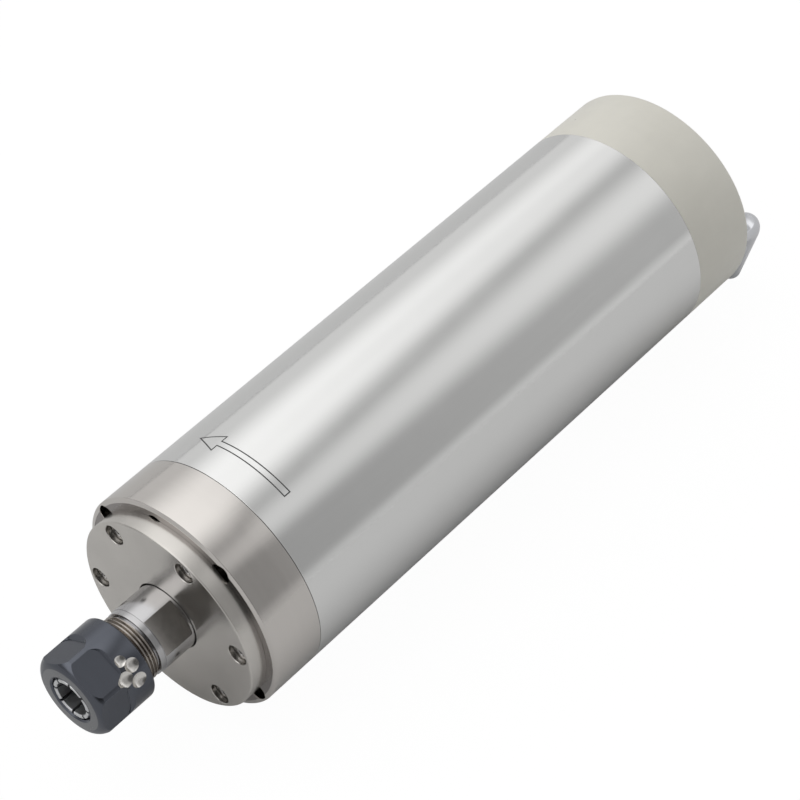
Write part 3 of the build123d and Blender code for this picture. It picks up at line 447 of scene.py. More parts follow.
def threaded(
    crest: float,
    root: float,
    pitch: float,
    span: tuple[float, float],
    finish: Finish,
    centre: tuple[float, float] = (0.0, 0.0),
    steps: int = 72,
) -> Piece:
    """Cut a right-hand thread on a solid bar along Y.

    Args:
        crest: the thread's outer radius.
        root: the radius at the bottom of its groove.
        pitch: the distance from turn to turn.
        span: where the bar starts and ends.
        finish: the thread's finish.
        centre: x and z of the bar's axis.
        steps: how many steps a turn has.

    Returns:
        The threaded bar, closed at both ends.
    """
    start, end = span
    turns = math.ceil((end - start) / pitch) + 3
    first = start - (2 + 0.37 / steps) * pitch
    profile = ((crest, 0), (crest, 1 / 8), (root, 7 / 16), (root, 11 / 16), (crest, 1))
    piece = drawn("thread", [Vector((far, first + part * pitch, 0.0)) for far, part in profile])
    piece.data.materials.append(finish.material())
    winding = {"axis": "Y", "angle": -math.tau, "screw_offset": pitch * MM, "iterations": turns}
    merging = {"use_merge_vertices": True, "merge_threshold": MERGE}
    modified(piece, "SCREW", steps=steps, render_steps=steps, **winding, **merging)
    with editing(piece):
        bpy.ops.mesh.select_all(action="SELECT")
        bpy.ops.mesh.remove_doubles(threshold=MERGE)
        for place_y, way in ((start, -1.0), (end, 1.0)):
            bpy.ops.mesh.select_all(action="SELECT")
            bpy.ops.mesh.bisect(
                plane_co=(0.0, place_y * MM, 0.0),
                plane_no=(0.0, way, 0.0),
                clear_outer=True,
            )
            bpy.ops.mesh.edge_face_add()
        face_outwards()
    return place(piece, Matrix.Translation(Vector((centre[0], 0.0, centre[1])) * MM))


# Finishes


def feed(tree: Tree, value: object, socket: Socket) -> None:
    """Give an input a socket to read or a plain value."""
    if isinstance(value, Socket):
        tree.links.new(value, socket)
    else:
        socket.default_value = value


def put_node(
    tree: Tree, kind: str, inputs: dict[str | int, object] | None = None, **settings: object
) -> bpy.types.Node:
    """Add a shader node.

    Args:
        tree: the node tree.
        kind: the node type's name, without its ShaderNode start.
        inputs: a socket to read or a plain value for each named or numbered input.
        settings: the node's own settings.

    Returns:
        The node.
    """
    node = tree.nodes.new("ShaderNode" + kind)
    for key, value in settings.items():
        setattr(node, key, value)
    for key, value in (inputs or {}).items():
        feed(tree, value, node.inputs[key])
    return node


def math_node(tree: Tree, operation: str, *inputs: Socket | float) -> Socket:
    """Add a Math node.

    Args:
        tree: the node tree.
        operation: what it works out.
        inputs: sockets to read, or plain numbers.

    Returns:
        Its output socket.
    """
    return put_node(tree, "Math", dict(enumerate(inputs)), operation=operation).outputs[0]


class Marks(Enum):
    """The marks that a way of making leaves on a surface."""

    TURNED = "turned rings"
    DRAWN = "fine lines along the axis"
    CAST = "cast grain"
    WOUND = "wound wire"


class MarkGroup:
    """One shared node group for each kind of mark, with outputs Height and Tone."""

    built: dict[Marks, bpy.types.ShaderNodeTree] = {}

    @classmethod
    def get(cls, marks: Marks) -> bpy.types.ShaderNodeTree:
        """Give the group for a kind of mark, building it the first time.

        Args:
            marks: the kind of mark.

        Returns:
            The node group.
        """
        if marks not in cls.built:
            cls.built[marks] = cls.build(marks)
        return cls.built[marks]

    @classmethod
    def build(cls, marks: Marks) -> bpy.types.ShaderNodeTree:
        """Build the group for a kind of mark.

        Args:
            marks: the kind of mark.

        Returns:
            The node group.
        """
        tree = bpy.data.node_groups.new(marks.value, "ShaderNodeTree")
        sockets = tree.interface
        sockets.new_socket("Place", in_out="INPUT", socket_type="NodeSocketVector")
        sockets.new_socket("Size", in_out="INPUT", socket_type="NodeSocketFloat")
        sockets.new_socket("Height", in_out="OUTPUT", socket_type="NodeSocketFloat")
        sockets.new_socket("Tone", in_out="OUTPUT", socket_type="NodeSocketFloat")
        entry = tree.nodes.new("NodeGroupInput")
        way_out = tree.nodes.new("NodeGroupOutput")
        per_size = math_node(tree, "DIVIDE", 1.0, entry.outputs["Size"])
        fine, coarse = cls.pattern(tree, marks, entry.outputs["Place"], per_size)
        smudge = cls.noise(tree, entry.outputs["Place"], 90.0, 4.0, 0.6)
        half = math_node(tree, "MULTIPLY", coarse, 0.5)
        tone = math_node(tree, "MULTIPLY_ADD", smudge, 0.5, half)
        tree.links.new(fine, way_out.inputs["Height"])
        tree.links.new(tone, way_out.inputs["Tone"])
        return tree

    @staticmethod
    def noise(tree: Tree, where: Socket, scale: float, detail: float, roughness: float) -> Socket:
        """Read a noise texture at a place.

        Args:
            tree: the group.
            where: the place.
            scale: how fine it is.
            detail: how many finer layers it has.
            roughness: how strong those are.

        Returns:
            The noise.
        """
        inputs = {"Vector": where, "Scale": scale, "Detail": detail, "Roughness": roughness}
        return put_node(tree, "TexNoise", inputs, noise_dimensions="3D").outputs["Fac"]

    @classmethod
    def pattern(
        cls, tree: Tree, marks: Marks, where: Socket, per_size: Socket
    ) -> tuple[Socket, Socket]:
        """Draw the marks themselves.

        Args:
            tree: the group.
            marks: the kind of mark.
            where: the place on the piece.
            per_size: one over the marks' size.

        Returns:
            A fine pattern for the height and a coarser one for the tone.
        """
        x, y, z = put_node(tree, "SeparateXYZ", {0: where}).outputs

        def times(first: Socket | float, second: Socket | float) -> Socket:
            """Multiply two values."""
            return math_node(tree, "MULTIPLY", first, second)

        across = math_node(tree, "ADD", times(x, x), times(z, z))
        radius = math_node(tree, "SQRT", across)
        turn = math_node(tree, "ARCTAN2", z, x)
        found = []
        for stretch in (1.0, 0.22):
            scale = times(per_size, stretch)
            if marks is Marks.TURNED:
                along = times(math_node(tree, "ADD", radius, y), scale)
                runs = (along, math_node(tree, "SINE", turn), math_node(tree, "COSINE", turn))
            elif marks is Marks.DRAWN:
                runs = (times(x, scale), times(times(y, scale), 0.02), times(z, scale))
            elif marks is Marks.WOUND:
                along = times(math_node(tree, "ADD", radius, times(y, 0.4)), scale)
                runs = (along, times(turn, 9.0), 0.0)
            else:
                runs = tuple(times(part, scale) for part in (x, y, z))
            spot = put_node(tree, "CombineXYZ", dict(enumerate(runs))).outputs[0]
            found.append(cls.noise(tree, spot, 1.0, 3.0, 0.55))
        return found[0], found[1]


@dataclass(frozen=True)
class Finish:
    """A surface finish: a colour with the marks, tone and gloss that its making leaves."""

    name: str
    colour: Colour
    roughness: float
    marks: Marks
    metallic: float = 1.0
    size: float = 0.0003
    depth: float = 2e-6
    tone: float = 0.12
    gloss_spread: float = 0.06
    specular: float = 0.5
    coat: float = 0.0

    def material(self) -> bpy.types.Material:
        """Give the finish's material, building it the first time."""
        known = bpy.data.materials.get(self.title)
        return known or self.build()

    @property
    def title(self) -> str:
        """Name the material apart from the frame's plain one of the same slot."""
        return f"{self.name}_finish"

    def build(self) -> bpy.types.Material:
        """Build the material.

        Returns:
            The material, with its colour, gloss and relief from the marks.
        """
        material = bpy.data.materials.new(self.title)
        material.use_nodes = True
        tree = material.node_tree
        shader = tree.nodes["Principled BSDF"]
        where = put_node(tree, "TexCoord").outputs["Object"]
        group = MarkGroup.get(self.marks)
        marks = put_node(tree, "Group", node_tree=group)
        feed(tree, where, marks.inputs["Place"])
        feed(tree, self.size, marks.inputs["Size"])
        tone = marks.outputs["Tone"]
        dark = (*(part * (1 - self.tone) for part in self.colour), 1.0)
        light = (*(min(part * (1 + self.tone), 1.0) for part in self.colour), 1.0)
        shade = put_node(tree, "Mix", {0: tone, 6: dark, 7: light}, data_type="RGBA")
        low, high = (self.roughness + side * self.gloss_spread / 2 for side in (-1, 1))
        spread = {"Value": tone, "From Min": 0.3, "From Max": 0.7, "To Min": max(low, 0.02)}
        gloss = put_node(tree, "MapRange", {**spread, "To Max": high})
        height = {"Height": marks.outputs["Height"], "Distance": self.depth}
        relief = put_node(tree, "Bump", height)
        values = {
            "Base Color": shade.outputs[2],
            "Roughness": gloss.outputs["Result"],
            "Normal": relief.outputs["Normal"],
            "Metallic": self.metallic,
            "Specular IOR Level": self.specular,
            "Coat Weight": self.coat,
            "Coat Roughness": 0.15,
        }
        for name, value in values.items():
            feed(tree, value, shader.inputs[name])
        return material


BODY_STEEL = Finish(
    "body_steel", (0.84, 0.84, 0.83), 0.13, Marks.DRAWN, size=0.0004, depth=6e-7, tone=0.03
)
NICKEL_STEEL = Finish(
    "nickel_steel", (0.69, 0.66, 0.63), 0.13, Marks.TURNED, tone=0.05, depth=8e-7
)
COVER_STEEL = Finish(
    "cover_steel", (0.67, 0.645, 0.61), 0.25, Marks.CAST, tone=0.16, size=0.002, depth=2e-7
)
SEAM_SHADE = Finish("seam_shade", (0.05, 0.05, 0.05), 0.50, Marks.TURNED)
# Ring face round the cover plate: its darker colour is painted shade from the plate's rim, and its
# rougher gloss is a real machined finish.
RING_PAINTED_SHADE_STEEL = Finish("ring_steel", (0.34, 0.32, 0.31), 0.26, Marks.TURNED, tone=0.10)
SHAFT_STEEL = Finish(
    "shaft_steel", (0.535, 0.53, 0.535), 0.16, Marks.TURNED, tone=0.05, depth=8e-7
)
THREAD_STEEL = Finish("thread_steel", (0.40, 0.37, 0.34), 0.18, Marks.TURNED, tone=0.10)
MILLED_STEEL = Finish("milled_steel", (0.64, 0.61, 0.58), 0.24, Marks.CAST, tone=0.06, depth=1e-7)
COLLET_STEEL = Finish("collet_steel", (0.74, 0.75, 0.76), 0.34, Marks.TURNED)
BLACK_OXIDE = Finish(
    "black_oxide", (0.118, 0.126, 0.147), 0.20, Marks.TURNED, tone=0.10, depth=1e-6
)
WORN_OXIDE = Finish("worn_oxide", (0.24, 0.245, 0.255), 0.26, Marks.TURNED, tone=0.12)
DRILLED_STEEL = Finish("drilled_steel", (0.80, 0.78, 0.75), 0.22, Marks.CAST, tone=0.10)
BLACK_STEEL = Finish("black_steel", (0.10, 0.10, 0.11), 0.35, Marks.TURNED)
SCREW_STEEL = Finish("screw_steel", (0.36, 0.35, 0.34), 0.22, Marks.TURNED, size=0.0001)
BEARING_STEEL = Finish("bearing_steel", (0.80, 0.80, 0.81), 0.08, Marks.TURNED, tone=0.03)
SPRING_STEEL = Finish("spring_steel", (0.55, 0.55, 0.56), 0.30, Marks.TURNED)
LAMINATION_STEEL = Finish(
    "lamination_steel", (0.36, 0.36, 0.37), 0.50, Marks.TURNED, size=0.0005, depth=2e-5
)
ALUMINIUM = Finish("aluminium_alloy", (0.75, 0.75, 0.76), 0.28, Marks.TURNED)
CAST_ALUMINIUM = Finish(
    "cast_aluminium", (0.70, 0.70, 0.71), 0.45, Marks.CAST, size=0.0008, depth=3e-5
)
BRASS = Finish("brass_alloy", (0.78, 0.62, 0.33), 0.25, Marks.TURNED)
WINDING_COPPER = Finish(
    "winding_copper", (0.62, 0.30, 0.14), 0.35, Marks.WOUND, size=0.0006, depth=0.0001, coat=0.5
)
PIN_GOLD = Finish("pin_brass", (0.85, 0.70, 0.38), 0.20, Marks.TURNED, size=0.0001)
LEAD_INSULATION = Finish(
    "lead_insulation", (0.45, 0.06, 0.05), 0.50, Marks.CAST, metallic=0.0, size=0.0005
)
SEAL_RUBBER = Finish(
    "seal_rubber", (0.03, 0.03, 0.03), 0.60, Marks.CAST, metallic=0.0, size=0.0004
)
CAGE_RESIN = Finish(
    "cage_resin", (0.45, 0.27, 0.13), 0.50, Marks.TURNED, metallic=0.0, size=0.0003, depth=1e-5
)
CAP_PLASTIC = Finish(
    "cap_plastic",
    (0.82, 0.80, 0.72),
    0.30,
    Marks.CAST,
    metallic=0.0,
    size=0.0012,
    depth=4e-6,
    tone=0.06,
    specular=0.6,
)
CHROME = Finish("chrome_plate", (0.80, 0.81, 0.84), 0.10, Marks.CAST, size=0.0008, tone=0.04)
CONNECTOR_METAL = Finish("connector_metal", (0.72, 0.71, 0.68), 0.20, Marks.TURNED)
CONNECTOR_INSULATOR = Finish(
    "connector_insulator", (0.04, 0.04, 0.04), 0.45, Marks.CAST, metallic=0.0, size=0.0003
)
MARKING = Finish("laser_marking", (0.10, 0.10, 0.10), 0.60, Marks.CAST, metallic=0.4, size=0.0002)


# The spindle's pieces


@dataclass
class Body:
    """The steel tube, the front housing with its cover plate, their screws and the marking."""

    radius: float = 32.5
    tube_inner: float = 27.0
    spigot_radius: float = 26.98
    spigot_end: float = 14.5
    bearing_seat: float = 17.52
    bearing_stop: float = 8.45
    lip_radius: float = 15.2
    lip_end: float = 10.5
    rear_bore: float = 18.02
    tube_end: float = 157.5
    seam: float = 0.2
    seam_depth: float = 0.5
    tube_edge: float = 0.06
    housing_face: float = -16.4
    housing_chamfer: tuple[float, float] = (1.2, 0.5)
    cover_face: float = -21.7
    cover_radius: float = 29.0
    clamp_ring: tuple[float, float, float] = (14.0, 17.45, -13.65)
    screw_hole: float = 1.7
    screw_head: float = 3.0
    screw_lengths: tuple[float, float] = (9.2, 12.0)
    cover_hole: float = 10.05
    cover_hole_edge: float = 0.12
    cover_hole_angles: tuple[float, ...] = tuple(steps_round(12.3, 6))
    cover_hole_circle: float = 25.0
    cover_counterbore: float = 3.0
    cover_sink: float = 1.5
    cover_head_height: float = 2.6
    housing_hole_angles: tuple[float, ...] = tuple(steps_round(59.0, 4))
    housing_hole_circle: float = 29.1
    housing_counterbore: float = 2.85
    housing_sink: float = 8.0
    ring_depth: float = 0.06
    dowel_circle: float = 27.0
    dowel_angle: float = 104.4
    dowel_depth: float = 9.0

    def tube(self) -> Piece:
        """Build the polished steel tube."""
        corners = outline(
            (self.tube_inner, 0.0), (self.radius - self.tube_edge, 0.0),
            (self.radius, self.tube_edge), (self.radius, self.tube_end - self.tube_edge),
            (self.radius - self.tube_edge, self.tube_end), (self.tube_inner, self.tube_end),
        )
        return finished(turned("tube", corners, 256), BODY_STEEL, "body_tube")

    def housing(self) -> Piece:
        """Build the front bearing housing with its screw and dowel holes.

        Returns:
            The housing.
        """
        corners = outline(
            (self.bearing_seat, self.housing_face),
            (self.radius - self.housing_chamfer[0], self.housing_face, 0.1),
            (self.radius, self.housing_face + self.housing_chamfer[1], 0.15),
            (self.radius, 0.0), (self.spigot_radius, 0.0), (self.spigot_radius, self.spigot_end),
            (self.rear_bore, self.spigot_end), (self.rear_bore, self.lip_end),
            (self.lip_radius, self.lip_end), (self.lip_radius, self.bearing_stop),
            (self.bearing_seat, self.bearing_stop),
        )
        piece = turned("front_bearing_housing", corners, 256, finish=NICKEL_STEEL)
        head = Corner(self.housing_counterbore, self.housing_sink + self.screw_head)
        shank = Corner(self.screw_hole, self.spigot_end - self.housing_face + 1.1)
        for angle in self.housing_hole_angles:
            where = polar(self.housing_hole_circle, angle)
            worked(piece, screw_tool(where, self.housing_face, 1.0, head, shank, 0.12))
        face, seam = self.housing_face, self.radius - self.seam_depth
        edge = self.radius - self.housing_chamfer[0] - 0.15
        # The ring face round the cover plate is cut in a darker steel, which is painted shade from
        # the plate's rim. The seam groove gets a dark joint.
        cuts = (
            (self.cover_radius, edge, face - 1.0, face + self.ring_depth, RING_PAINTED_SHADE_STEEL),
            (seam, self.radius + 1.0, -self.seam, 1.0, SEAM_SHADE),
        )
        for inner, outer, start, end, finish in cuts:
            groove = ring(inner, outer, start, end)
            worked(piece, turned("groove", groove, 251, finish=finish))
        dowel = Corner(self.housing_counterbore, self.dowel_depth)
        where = polar(self.dowel_circle, self.dowel_angle)
        worked(piece, screw_tool(where, self.housing_face, 1.0, dowel, dowel, 0.12))
        return finished(piece, NICKEL_STEEL, "front_housing")

    def cover(self) -> Piece:
        """Build the cover plate with its clamping ring and counterbored screw holes.

        Returns:
            The plate.
        """
        inner, outer, clamp_end = self.clamp_ring
        corners = outline(
            (self.cover_hole + self.cover_hole_edge, self.cover_face),
            (self.cover_radius - 0.3, self.cover_face, 0.12),
            (self.cover_radius, self.cover_face + 0.3, 0.12),
            (self.cover_radius, self.housing_face), (outer, self.housing_face),
            (outer, clamp_end), (inner, clamp_end), (inner, self.housing_face),
            (self.cover_hole, self.housing_face),
            (self.cover_hole, self.cover_face + self.cover_hole_edge),
        )
        piece = turned("cover_plate", corners, 256, finish=COVER_STEEL)
        head = Corner(self.cover_counterbore, self.cover_sink + self.cover_head_height)
        shank = Corner(self.screw_hole, 7.0)
        for angle in self.cover_hole_angles:
            where = polar(self.cover_hole_circle, angle)
            worked(piece, screw_tool(where, self.cover_face, 1.0, head, shank, 0.15))
        return finished(piece, COVER_STEEL, "front_cover", slot="nickel_steel")

    def screws(self) -> list[Piece]:
        """Build the screws of the cover and of the housing.

        Returns:
            Both sets, each as one piece.
        """
        lengths, height = self.screw_lengths, self.cover_head_height
        head = self.cover_face + self.cover_sink
        cover = SocketScrew(head, 1.0, self.cover_hole_circle, lengths[0], height)
        head = self.housing_face + self.housing_sink
        housing = SocketScrew(head, 1.0, self.housing_hole_circle, lengths[1])
        return [
            cover.on_circle("cover_plate_screws", self.cover_hole_angles, "cover_screws"),
            housing.on_circle("front_housing_screws", self.housing_hole_angles, "housing_screws"),
        ]

    def arrow(self) -> Piece:
        """Build the outlined turning-direction arrow that is marked on the tube."""
        arrow = DirectionArrow(self.radius)
        return arrow.build()


@dataclass
class DirectionArrow:
    """An arrow's outline round the tube. Places along it are angles about the spindle axis."""

    tube_radius: float
    tip: tuple[float, float] = (122.0, 10.0)
    barb_angle: float = 108.0
    barbs: tuple[float, float] = (6.98, 13.28)
    neck: tuple[float, float] = (9.1, 11.2)
    tail_angle: float = 66.0
    tail: tuple[float, float] = (8.8, 11.1)
    line: float = 0.34
    height: float = 0.02
    step: float = 1.0

    def corners(self) -> list[tuple[float, float]]:
        """Give the outline's corners as (angle, place along the axis)."""
        return [
            self.tip,
            (self.barb_angle, self.barbs[1]),
            (self.barb_angle, self.neck[1]),
            (self.tail_angle, self.tail[1]),
            (self.tail_angle, self.tail[0]),
            (self.barb_angle, self.neck[0]),
            (self.barb_angle, self.barbs[0]),
        ]

    def build(self) -> Piece:
        """Draw the outline flat, inset it to a line and wrap it round the tube.

        Returns:
            The marking.
        """
        flat = [
            Vector((math.radians(angle) * self.tube_radius, along, 0.0))
            for angle, along in self.corners()
        ]
        piece = drawn("direction_arrow", [*flat, flat[0]])
        with editing(piece):
            bpy.ops.mesh.select_all(action="SELECT")
            bpy.ops.mesh.remove_doubles(threshold=MERGE)
            bpy.ops.mesh.edge_face_add()
            bpy.ops.mesh.inset(thickness=self.line * MM, depth=0.0)
            bpy.ops.mesh.delete(type="FACE")
            start, end = (
                math.radians(turn) * self.tube_radius for turn in (self.tail_angle, self.tip[0])
            )
            for index in range(1, round((end - start) / self.step)):
                bpy.ops.mesh.select_all(action="SELECT")
                where = ((start + index * self.step) * MM, 0.0, 0.0)
                bpy.ops.mesh.bisect(plane_co=where, plane_no=(1.0, 0.0, 0.0))
            face_outwards()
        for vertex in piece.data.vertices:
            turn = vertex.co.x / (self.tube_radius * MM)
            reach = (self.tube_radius + self.height / 4) * MM
            vertex.co = (reach * math.cos(turn), vertex.co.y, reach * math.sin(turn))
        modified(piece, "SOLIDIFY", thickness=self.height * MM, offset=0.0)
        with editing(piece):
            face_outwards()
        return finished(piece, MARKING, slot="body_steel")


@dataclass
class SocketScrew:
    """A socket-head screw that stands parallel to the spindle axis."""

    face: float
    into: float
    circle: float
    length: float
    head_height: float = 3.0
    head_radius: float = 2.75
    shank_radius: float = 1.5
    socket_width: float = 2.5
    socket_depth: float = 1.6
    socket_flare: float = 0.12

    def build(self) -> Piece:
        """Build the screw at angle 0.

        Returns:
            The screw.
        """
        face, into = self.face, self.into
        under = face + into * self.head_height
        tip = under + into * self.length
        centre = (self.circle, 0.0)
        corners = outline(
            (0.0, face), (self.head_radius, face, 0.35), (self.head_radius, under, 0.1),
            (self.shank_radius, under), (self.shank_radius, tip - into * 0.4),
            (self.shank_radius - 0.4, tip), (0.0, tip),
        )
        screw = turned("screw", corners, 48, centre, finish=SCREW_STEEL)
        across_corners = self.socket_width / 2 / math.cos(math.pi / 6)
        floor = face + into * self.socket_depth
        socket = outline(
            (0.0, face - into), (across_corners, face - into), (across_corners, floor),
            (0.0, floor + into * 0.5),
        )
        worked(screw, turned("socket", socket, 6, centre))
        mouth = outline(
            (0.0, face - into), (across_corners + self.socket_flare + 1.0, face - into),
            (across_corners - self.socket_flare, face + into * 2 * self.socket_flare),
            (0.0, face + into * 2 * self.socket_flare),
        )
        return worked(screw, turned("mouth", mouth, 48, centre))

    def on_circle(self, name: str, angles: Sequence[float], node: str) -> Piece:
        """Build a circle of these screws.

        Args:
            name: the piece's name.
            angles: where the screws stand.
            node: the CAD node that they stand for.

        Returns:
            The screws as one piece.
        """
        screws = copies_round(self.build(), angles)
        screws.name = name
        return finished(screws, SCREW_STEEL, node)


@dataclass
class Shaft:
    """The spindle shaft with its threaded nose, wrench flats and bored socket.

    Each of its seats has a radius and the place where it ends.
    """

    nose_end: float = -48.0
    thread_radius: float = 9.5
    thread_root: float = 8.87
    pitch: float = 1.0
    thread_stop: float = -34.0
    relief_radius: float = 8.5
    collar_front: float = -33.5
    collar_radius: float = 9.6
    collar_back: float = -31.8
    nose_radius: float = 9.75
    nose_back: float = -16.0
    flat_width: float = 16.4
    flat_start: float = -31.7
    flat_end: float = -22.4
    flat_angle: float = 42.7
    mouth_radius: float = 8.376
    socket_end: float = -27.43
    socket_end_radius: float = 5.485
    bore_radius: float = 5.3
    bore_end: float = -6.53
    seats: tuple[tuple[float, float], ...] = (
        (11.4, -13.6),
        (8.5, 8.4),
        (8.3, 12.9),
        (8.2, 131.0),
        (7.5, 140.0),
    )
    tail_radius: float = 7.3
    tail_end: float = 147.0

    def build(self) -> Piece:
        """Build the shaft.

        Returns:
            The shaft.
        """
        core = self.thread_root - 0.07
        start, steps = self.nose_back, []
        for radius, end in self.seats:
            steps += [(radius, start), (radius, end)]
            start = end
        corners = outline(
            (0.0, self.nose_end + 1.0), (core, self.nose_end + 1.0), (core, self.thread_stop),
            (self.relief_radius, self.thread_stop), (self.relief_radius, self.collar_front),
            (self.collar_radius, self.collar_front, 0.12), (self.collar_radius, self.collar_back),
            (self.nose_radius, self.collar_back, 0.06), (self.nose_radius, self.nose_back),
            *steps, (self.tail_radius, start), (self.tail_radius, self.tail_end, 0.4),
            (0.0, self.tail_end),
        )
        shaft = turned("spindle_nose_and_shaft", corners, 192, finish=SHAFT_STEEL)
        worked(shaft, self.flats())
        worked(shaft, self.thread(), Cut.ADDED)
        socket = outline(
            (0.0, self.nose_end - 1.0), (self.mouth_radius + 1.15, self.nose_end - 1.0),
            (self.mouth_radius, self.nose_end + 0.15), (self.socket_end_radius, self.socket_end),
            (self.bore_radius, self.socket_end), (self.bore_radius, self.bore_end),
            (0.0, self.bore_end + self.bore_radius),
        )
        worked(shaft, turned("socket", socket, 110))
        return finished(shaft, SHAFT_STEEL, "shaft", body="spindle_shaft")

    def thread(self) -> Piece:
        """Cut the nose thread, with its first turn broken to a chamfer.

        Returns:
            The threaded bar.
        """
        ends = (self.nose_end, self.thread_stop)
        bar = threaded(self.thread_radius, self.thread_root, self.pitch, ends, THREAD_STEEL)
        crest = self.thread_radius
        envelope = outline(
            (0.0, self.nose_end - 0.5), (crest - 0.9, self.nose_end - 0.1),
            (crest + 0.02, self.nose_end + 0.8), (crest + 0.02, self.thread_stop - 0.5),
            (crest - 0.7, self.thread_stop + 0.1), (0.0, self.thread_stop + 0.1),
        )
        return worked(bar, turned("envelope", envelope, 85), Cut.SHARED)

    def flats(self) -> Piece:
        """Make the shape that mills the two wrench flats.

        Returns:
            The tool.
        """
        depth = 6.0
        length = self.flat_end - self.flat_start
        middle = (self.flat_end + self.flat_start) / 2
        sides = []
        for side in (0.0, 180.0):
            mill = block((depth, length, 30.0), ((self.flat_width + depth) / 2, middle, 0.0))
            sides.append(place(mill, about_axis(self.flat_angle + side)))
        tool = joined(sides)
        tool.data.materials.append(MILLED_STEEL.material())
        return tool


@dataclass
class Nut:
    """The collet nut: a crowned front, six wrench flats and the balancing drill marks.

    Each drill mark has its angle, its distance behind the face and its radius.
    """

    face: float = -55.78
    back: float = -38.28
    radius: float = 12.3
    opening: float = 6.6
    cone_start: float = -54.577
    cone_end: float = -51.2
    cone_radius: float = 8.55
    rib: tuple[float, float] = (-50.45, -48.75)
    rib_radius: float = 7.5
    thread_bore: float = 9.55
    ring_radius: float = 9.8
    ring_depth: float = 0.04
    across_flats: float = 21.9
    flat_angles: tuple[float, ...] = tuple(steps_round(64.5, 6))
    flat_length: float = 9.7
    flat_width: float = 11.4
    flat_corner: float = 2.6
    flat_lean: float = 2.6
    point_angle: float = 118.0
    drilled: tuple[tuple[float, float, float], ...] = (
        (56.5, 11.6, 1.6),
        (44.5, 13.5, 2.05),
        (35.5, 10.0, 2.3),
        (23.5, 13.3, 2.2),
    )

    def build(self) -> Piece:
        """Build the nut.

        Returns:
            The nut.
        """
        rib_start, rib_end = self.rib
        crown = arc(
            Corner(self.radius, self.face + 2.4),
            Corner(11.2, self.face + 0.75),
            Corner(9.0, self.face),
            10,
        )
        corners = outline(
            *crown, (self.opening + 0.4, self.face, 0.1), (self.opening, self.face + 0.4),
            (self.opening, self.cone_start), (self.cone_radius, self.cone_end),
            (self.cone_radius, rib_start), (self.rib_radius, rib_start),
            (self.rib_radius, rib_end), (self.thread_bore, rib_end),
            (self.thread_bore, self.back - 0.5), (self.thread_bore + 0.5, self.back),
            (self.radius, self.back, 0.8),
        )
        nut = turned("clamping_nut", corners, 192, finish=BLACK_OXIDE)
        face = ring(
            self.opening + 0.5, self.ring_radius, self.face - 1.0, self.face + self.ring_depth
        )
        worked(nut, turned("face", face, 155, finish=WORN_OXIDE))
        worked(nut, self.flat_tool())
        worked(nut, self.drill_points())
        return finished(nut, BLACK_OXIDE, "collet_nut", body="collet_nut")

    def flat_tool(self) -> Piece:
        """Make the shape that mills the six flats, with rounded corners at the rear.

        Returns:
            The tool.
        """
        depth = 4.0
        size = (depth, 2 * self.flat_length, self.flat_width)
        mill = block(size, ((self.across_flats + depth) / 2, self.face, 0.0))
        reach = depth * MM / 2
        bevelled(mill, self.flat_corner, 10, lambda start, end: abs(start.x - end.x) > reach)
        for vertex in mill.data.vertices:
            if vertex.co.x > self.radius * MM and vertex.co.y > self.face * MM:
                vertex.co.y += self.flat_lean * MM
        tool = copies_round(mill, self.flat_angles)
        tool.data.materials.append(BLACK_OXIDE.material())
        return tool

    def drill_points(self) -> Piece:
        """Make the drill points of the balancing marks.

        Returns:
            The tool, in bare drilled steel.
        """
        points = []
        for angle, behind, radius in self.drilled:
            slope = math.tan(math.radians(self.point_angle / 2))
            depth = radius / slope
            stand = 1.5
            bpy.ops.mesh.primitive_cone_add(
                vertices=64,
                radius1=(depth + stand) * slope * MM,
                radius2=0.0,
                depth=(depth + stand) * MM,
                location=(0.0, 0.0, 0.0),
                rotation=(0.0, -math.pi / 2, 0.0),
            )
            point = bpy.context.object
            middle = self.radius + (stand - depth) / 2
            where = about_axis(angle) @ Matrix.Translation(
                Vector((middle, self.face + behind, 0.0)) * MM
            )
            point.data.materials.append(DRILLED_STEEL.material())
            points.append(place(point, where))
        tool = points[0]
        for point in points[1:]:
            worked(tool, point, Cut.ADDED)
        return tool


@dataclass
class Collet:
    """The collet, slit from both ends in turn."""

    face: float = -55.53
    back: float = -28.03
    bore: float = 5.0
    face_radius: float = 6.0
    rim_radius: float = 8.5
    rim_start: float = -51.2
    groove: tuple[float, float] = (-50.6, -48.6)
    groove_radius: float = 6.9
    taper: tuple[float, float] = (8.44, 5.549)
    slit_width: float = 0.7
    slit_count: int = 8
    slit_length: float = 23.0

    def build(self) -> Piece:
        """Build the collet.

        Returns:
            The collet.
        """
        groove_start, groove_end = self.groove
        corners = outline(
            (self.bore + 0.25, self.face, 0.05), (self.face_radius, self.face, 0.08),
            (self.rim_radius, self.rim_start, 0.1), (self.rim_radius, groove_start, 0.1),
            (self.groove_radius, groove_start, 0.2), (self.groove_radius, groove_end, 0.2),
            (self.taper[0], groove_end, 0.1), (self.taper[1], self.back),
            (self.bore, self.back), (self.bore, self.face + 0.25),
        )
        collet = turned("slit_collet", corners, 128, finish=COLLET_STEEL)
        slits = []
        half_step = 180.0 / self.slit_count
        for end, into, first in ((self.face, 1.0, 0.0), (self.back, -1.0, half_step)):
            middle = end + into * (self.slit_length - 2.0) / 2
            saw = block((9.0, self.slit_length + 2.0, self.slit_width), (6.5, middle, 0.0))
            slits.append(copies_round(saw, steps_round(first, self.slit_count)))
        for slit in slits:
            worked(collet, slit)
        return finished(collet, COLLET_STEEL, "collet", body="collet")


